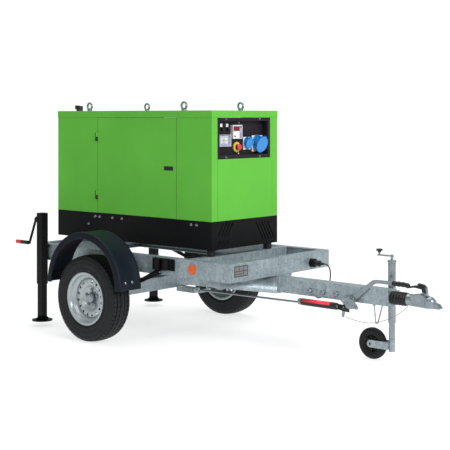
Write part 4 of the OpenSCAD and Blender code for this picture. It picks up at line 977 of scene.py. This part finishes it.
def rear_lamps():
    """Rear lamp units with their lenses, the bar that holds them and the plate lamp."""
    frame_x = FRAME_REAR_X
    bm = bmesh.new()
    slab(bm, (frame_x - 6, -510, 484), (frame_x - 0.2, 510, 550))
    piece("lamp_bar", bm, "galvanised", "chassis", edge=0.002)
    for side in (-1, 1):
        name = side_name(side)
        bm = bmesh.new()
        low, high = sorted((side * 295, side * 505))
        slab(bm, (frame_x - 22, low, 474), (frame_x - 6.2, high, 560))
        piece(f"rear_lamp_housing_{name}", bm, "black_plastic", "chassis", edge=0.006, steps=4)
        for label, y0, y1, tone in (("stop", 437, 499, "amber_lens"), ("tail", 362, 435, "red_lens"),
                                    ("reverse", 301, 360, "white_lens")):
            low, high = sorted((side * y0, side * y1))
            bm = bmesh.new()
            slab(bm, (frame_x - 33, low, 480), (frame_x - 21, high, 554))
            piece(f"rear_lens_{label}_{name}", bm, "amber_lens", "chassis", edge=0.006, steps=4,
                  material=tone)
    bm = bmesh.new()
    slab(bm, (frame_x - 30, -45, 520), (frame_x - 6.2, 45, 548))
    piece("plate_lamp", bm, "black_plastic", "chassis", edge=0.006, steps=4)
    bm = bmesh.new()
    slab(bm, (frame_x - 27, -36, 517), (frame_x - 11, 36, 521))
    piece("plate_lamp_lens", bm, "amber_lens", "chassis", edge=0.001, material="white_lens")


# ---------- drawbar ----------

DRAWBAR_Z = 420
DRAWBAR_END_X = 1964
LEVER_PIN = (1682, 365)
SECTOR_BOLT = (1757, 345)
BRAKE_Y, BRAKE_Z = -85, 336
CYLINDER_X = 1307
JOCKEY_X, JOCKEY_Y = 1909, 82
JOCKEY_WHEEL_X, JOCKEY_WHEEL_Z = 1768, 100

def bellows():
    """Rubber bellows over the coupling's shaft, with a collar at each end."""
    length, collar, folds, steps = 114.4, 9, 5, 80
    profile = [(31.5, 0.3), (39, 0.3), (40, 1.5), (40, collar - 1)]
    for k in range(steps + 1):
        share = k / steps
        wave = 0.5 - 0.5 * math.cos(2 * math.pi * folds * share)
        profile.append((35.2 + 7.4 * wave ** 0.75, collar + (length - 2 * collar) * share))
    profile += [(38.5, length - collar + 1), (38.5, length - 1.2), (37.5, length), (31.5, length)]
    bm = bmesh.new()
    base = place(DRAWBAR_END_X, 0, DRAWBAR_Z)
    lathe(bm, profile, base, (1, 0, 0), 48)
    obj = piece("coupling_bellows", bm, "rubber", "chassis", stands_for=["bellows"])
    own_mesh(obj)


def jockey_wheel():
    """Solid rubber tyre on a moulded hub with ribs."""
    spot = place(JOCKEY_WHEEL_X, JOCKEY_Y, JOCKEY_WHEEL_Z)
    half = [(60.5, -22), (63, -24), (70, -24.6), (72, -25), (82, -25), (84, -24.4), (91, -22.6), (95.5, -18),
            (98, -12), (98.6, -11), (99.2, -4), (99.8, -3.4)]
    profile = half + [(r, -y) for r, y in reversed(half)]
    bm = bmesh.new()
    lathe(bm, profile, spot, (0, 1, 0), 72)
    piece("jockey_tyre", bm, "tyre_rubber", "jockey_wheel", stands_for=["jockey_wheel"])
    bm = bmesh.new()
    half = [(8.2, -27), (15, -27), (17, -26), (18, -23), (19, -5), (52, -4), (55, -19), (60.2, -21)]
    lathe(bm, half + [(r, -y) for r, y in reversed(half)], spot, (0, 1, 0), 60)
    for k in range(8):
        spoke = Matrix.Rotation(math.tau * k / 8, 4, "Y")
        turn = Matrix.Translation(spot) @ spoke @ Matrix.Translation(-spot)
        for y in (-1, 1):
            low, high = sorted((JOCKEY_Y + y * 4, JOCKEY_Y + y * 18))
            slab(bm, (JOCKEY_WHEEL_X - 2.5, low, JOCKEY_WHEEL_Z + 17),
                 (JOCKEY_WHEEL_X + 2.5, high, JOCKEY_WHEEL_Z + 54), at=turn)
    piece("jockey_hub", bm, "black_plastic", "jockey_wheel")
    bm = bmesh.new()
    for y in (-1, 1):
        hexagon(bm, place(JOCKEY_WHEEL_X, JOCKEY_Y + y * 34, JOCKEY_WHEEL_Z), (0, y, 0), 14, 4)
    piece("jockey_axle_nuts", bm, "zinc_steel", "jockey_fork")


def handbrake():
    """Pressed lever with a moulded grip, and the toothed sector beside it."""
    outline = [(1636, 270), (1645, 272), (1656, 306), (1680, 331), (1700, 348), (1740, 388), (1800, 440),
               (1852, 484), (1884, 503), (1920, 508), (2018, 509), (2018, 529), (1916, 530), (1868, 526),
               (1838, 506), (1780, 462), (1716, 412), (1676, 386), (1654, 358), (1644, 328), (1632, 290)]
    bm = bmesh.new()
    plate(bm, rounded(outline), -70.6, -59.4)
    pin_y = -65
    pin_x, pin_z = LEVER_PIN
    sweep(bm, [place(pin_x, -83, pin_z), place(pin_x, -48, pin_z)], 0.0079, 20)
    sweep(bm, [place(1657, -87, 336), place(1657, -64, 336)], 0.0049, 16)
    piece("handbrake_arm", bm, "zinc_steel", "handbrake", edge=0.0022, steps=3,
          stands_for=["handbrake_lever"])
    bm = bmesh.new()
    grip = [place(2008 + 118.5 * k / 24, pin_y, 519 - 6 * (max(0, k - 15) / 9) ** 2) for k in range(25)]

    def girth(t):
        return (0.0152 - 0.0012 * math.cos(t * math.tau * 4) * (0.12 < t < 0.82)) * (1 - max(0, t - 0.93) * 4)

    sweep(bm, grip, girth, 24)
    piece("handbrake_grip", bm, "rubber", "handbrake", edge=0.001)
    sector = [(1640, 376), (1648, 398), (1700, 402), (1736, 386), (1762, 362), (1772, 344), (1766, 334),
              (1757, 332), (1748, 338), (1738, 334), (1702, 330), (1680, 338), (1670, 364), (1648, 367)]
    bm = bmesh.new()
    plate(bm, sector, -93, -88.5)
    for k in range(7):
        x = 1652 + 11 * k
        plate(bm, [(x, 400), (x + 7, 400), (x + 2, 408)], -92.9, -88.6)
    piece("brake_sector", bm, "zinc_steel", "chassis", edge=0.0006)
    bm = bmesh.new()
    for x, z in (LEVER_PIN, SECTOR_BOLT):
        hexagon(bm, place(x, -93, z), (0, -1, 0), 15, 8)
        sweep(bm, [place(x, -89, z), place(x, -82, z)], 0.007, 16)
    piece("brake_sector_bolts", bm, "zinc_steel", "chassis")


def drawbar_details():
    """Carriage-bolt heads, weld beads, blank plates, and dark discs on the rail that are painted shade for
    its holes.
    """
    bm = bmesh.new()
    for x in (1368, 1474, 1578):
        dome(bm, place(x, -49.2 - 12, 406), (0, -1, 0), 15, 7)
        sweep(bm, [place(x, -49.2, 406), place(x, -61.5, 406)], 0.0148, 32)
    piece("drawbar_bolt_heads", bm, "zinc_steel", "chassis")
    bm = bmesh.new()
    for side in (-1, 1):
        weld(bm, (1117, side * 50, 372), (1117, side * 50, 468))
        weld(bm, (1050, side * 55, 478), (1116, side * 55, 478))
        weld(bm, (1096, side * 533, 482), (1096, side * 533, 598), 2.4)
        weld(bm, (-799, side * 533, 482), (-799, side * 533, 598), 2.4)
        weld(bm, (1047, side * 484, 600.4), (1047, side * 533, 600.4), 2.4)
    weld(bm, (1118, -48, 371), (1118, 48, 371))
    weld(bm, (1642, -50, 399), (1728, -50, 399), 2.6)
    piece("weld_beads", bm, "galvanised", "chassis")
    # Dark discs on the rail: painted shade standing for the inside of its holes.
    bm = bmesh.new()
    for y in (-38, 38):
        dome(bm, place(1096.6, y, 551), (1, 0, 0), 4.2, 0.8)
    piece("rail_hole_painted_shade", bm, "dark_steel", "chassis")
    bm = bmesh.new()
    slab(bm, (1097.2, -491, 512), (1098.2, -354, 584))
    piece("blank_plate", bm, "grey_plastic", "chassis", edge=0.0006, material="dark_plate")
    bm = bmesh.new()
    for low, high in (((-482, 552), (-447, 577)), ((-440, 552), (-402, 577)), ((-395, 552), (-363, 577)),
                      ((-482, 535), (-402, 545)), ((-482, 519), (-430, 529)), ((-422, 519), (-402, 529)),
                      ((-395, 519), (-363, 545))):
        slab(bm, (1098.2, low[0], low[1]), (1098.7, high[0], high[1]))
    piece("blank_plate_fields", bm, "grey_plastic", "chassis", edge=0.0002, material="plate_grey")


def brake_linkage():
    """Brake rod with its equaliser, and the spring cylinder with a coloured stripe."""
    y, z = BRAKE_Y, BRAKE_Z
    spot = place(CYLINDER_X, y, z)
    bm = bmesh.new()
    sweep(bm, [place(403, 0, 302), place(1313, y, 330)], 0.0068, 20)
    slab(bm, (395.5, -59.5, 290.5), (404.5, 59.5, 313.5))
    hexagon(bm, place(394, 0, 302), (-1, 0, 0), 17, 9)
    lathe(bm, [(0, -1), (19, -1), (21, 1), (21, 27), (0, 27)], spot, (1, 0, 0), 40, closed=False)
    lathe(bm, [(0, 300), (12, 300), (12, 305), (9, 309), (0, 310)], spot, (1, 0, 0), 32, closed=False)
    piece("brake_rod_bar", bm, "zinc_steel", "brake_rod", edge=0.0006, stands_for=["brake_rod"])
    bm = bmesh.new()
    lathe(bm, [(18, 24), (21.6, 24), (22.6, 26), (22.6, 279), (21, 281), (21, 286), (22.6, 288), (22.6, 296),
               (20, 303), (14, 306), (0, 306)], spot, (1, 0, 0), 56, closed=False)
    slot = [(1600, 319), (1664, 310), (1700, 308), (1700, 350), (1664, 351), (1600, 353)]
    plate(bm, slot, y - 0.8, y + 3.8)
    piece("brake_spring_cylinder", bm, "black_plastic", "brake_rod")
    bm = bmesh.new()
    rows = []
    for x in (1340, 1562):
        rows.append([place(x, y - out * math.cos(math.radians(a)), z + out * math.sin(math.radians(a)))
                     for out, angles in ((23.1, range(8, 89, 8)), (22.2, range(88, 7, -8))) for a in angles])
    made = grid(bm, rows)
    close_end(bm, made[0])
    close_end(bm, made[-1])
    piece("brake_cylinder_stripe", bm, "red_plastic", "brake_rod")


def jockey_handle():
    """Crank of the jockey wheel: spindle, flat arm and a mushroom knob."""
    low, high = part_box("jockey_crank")
    top = high.z / MM
    arm_z = top - 44
    x, y = JOCKEY_X, JOCKEY_Y
    bm = bmesh.new()
    sweep(bm, [place(x, y, low.z / MM + 0.2), place(x, y, arm_z + 13)], 0.0079, 24)
    arm = rounded([(x - 103, -8), (x - 93, -10.6), (x, -10.6), (x + 9, -7.5), (x + 11.5, 0), (x + 9, 7.5),
                   (x, 10.6), (x - 93, 10.6), (x - 103, 8), (x - 105.5, 0)])
    flat = [[bm.verts.new(place(px, y + py, arm_z + h)) for px, py in arm] for h in (0.2, 7.8)]
    for k in range(len(arm)):
        n = (k + 1) % len(arm)
        bm.faces.new((flat[0][k], flat[0][n], flat[1][n], flat[1][k]))
    close_end(bm, flat[0])
    close_end(bm, flat[1])
    sweep(bm, [place(x - 93, y, arm_z + 7), place(x - 93, y, arm_z + 21)], 0.0062, 20)
    piece("jockey_crank_arm", bm, "zinc_steel", "jockey_crank", edge=0.0012, steps=3,
          stands_for=["jockey_crank"])
    bm = bmesh.new()
    lathe(bm, [(0, 20), (9, 20), (9.5, 24), (11, 28), (19.5, 31), (21, 34), (20.6, 38.5), (17, 42.4),
               (10, 43.7), (0, 44)], place(x - 93, y, arm_z), (0, 0, 1), 40, closed=False)
    piece("jockey_crank_knob", bm, "black_plastic", "jockey_crank")


def crank_sleeves():
    """Black grips with bright end sleeves on the cranks of the rear jacks."""
    for side in (-1, 1):
        body = f"jack_crank_{side_name(side)}"
        repaint(body, "black_plastic", lambda x, y, z: x < -848 and z < 640)
        repaint(body, "red_plastic", lambda x, y, z: x < -981)
        bm = bmesh.new()
        lathe(bm, [(13.9, 0), (14.5, 0.6), (14.5, 55.8), (13.9, 56.8)], place(-925, side * 580, 599),
              (-1, 0, 0), 40)
        piece(f"{body}_sleeve", bm, "red_plastic", body)


def slot_painted_shade_sheet():
    """Black sheet behind the lowest slots of the base's front, painted shade for the dark inside of the base.
    """
    bm = bmesh.new()
    # Painted shade: a black sheet stands for the dark inside behind the slots.
    slab(bm, (733, -325, 652), (736, 325, 705))
    piece("slot_painted_shade_sheet", bm, "black_paint", "chassis")


# ---------- the whole ----------

make_camera()
make_studio()
make_floor()
lead()
cable("breakaway_cable_front", CABLE_FRONT, True)
cable("breakaway_cable_rear", CABLE_REAR, False)

for node_name, node in NODES.items():
    slot_name = SLOT_OF[node_name]
    dress(node, MATERIALS[slot_name], EDGES.get(slot_name, 0.0008))

for side in (-1, 1):
    tyre(side)
    wheel_rim(side)
    fender(side)
    fender_stays(side)
    side_reflector(side)
rear_lamps()
socket_lid("small_socket_lid", 71, 1353, 34, 39, 24)
socket_lid("large_socket_lid", 183, 1351, 50, 58, 46)
stop_button()
controller()
breakers()
panel_colours()
bellows()
jockey_wheel()
handbrake()
drawbar_details()
brake_linkage()
jockey_handle()
slot_painted_shade_sheet()
crank_sleeves()

repaint("coupling_handle", "black_plastic", lambda x, y, z: z > 470 and x < 2200)
for node in ("coupling_head", "jockey_tube"):
    repaint(node, "zinc_steel", lambda x, y, z: True)
repaint("base_shell", "zinc_steel", lambda x, y, z: abs(y) > 350.3)
repaint("drawbar_fittings", "galvanised", lambda x, y, z: 1820 < x and z < 470)
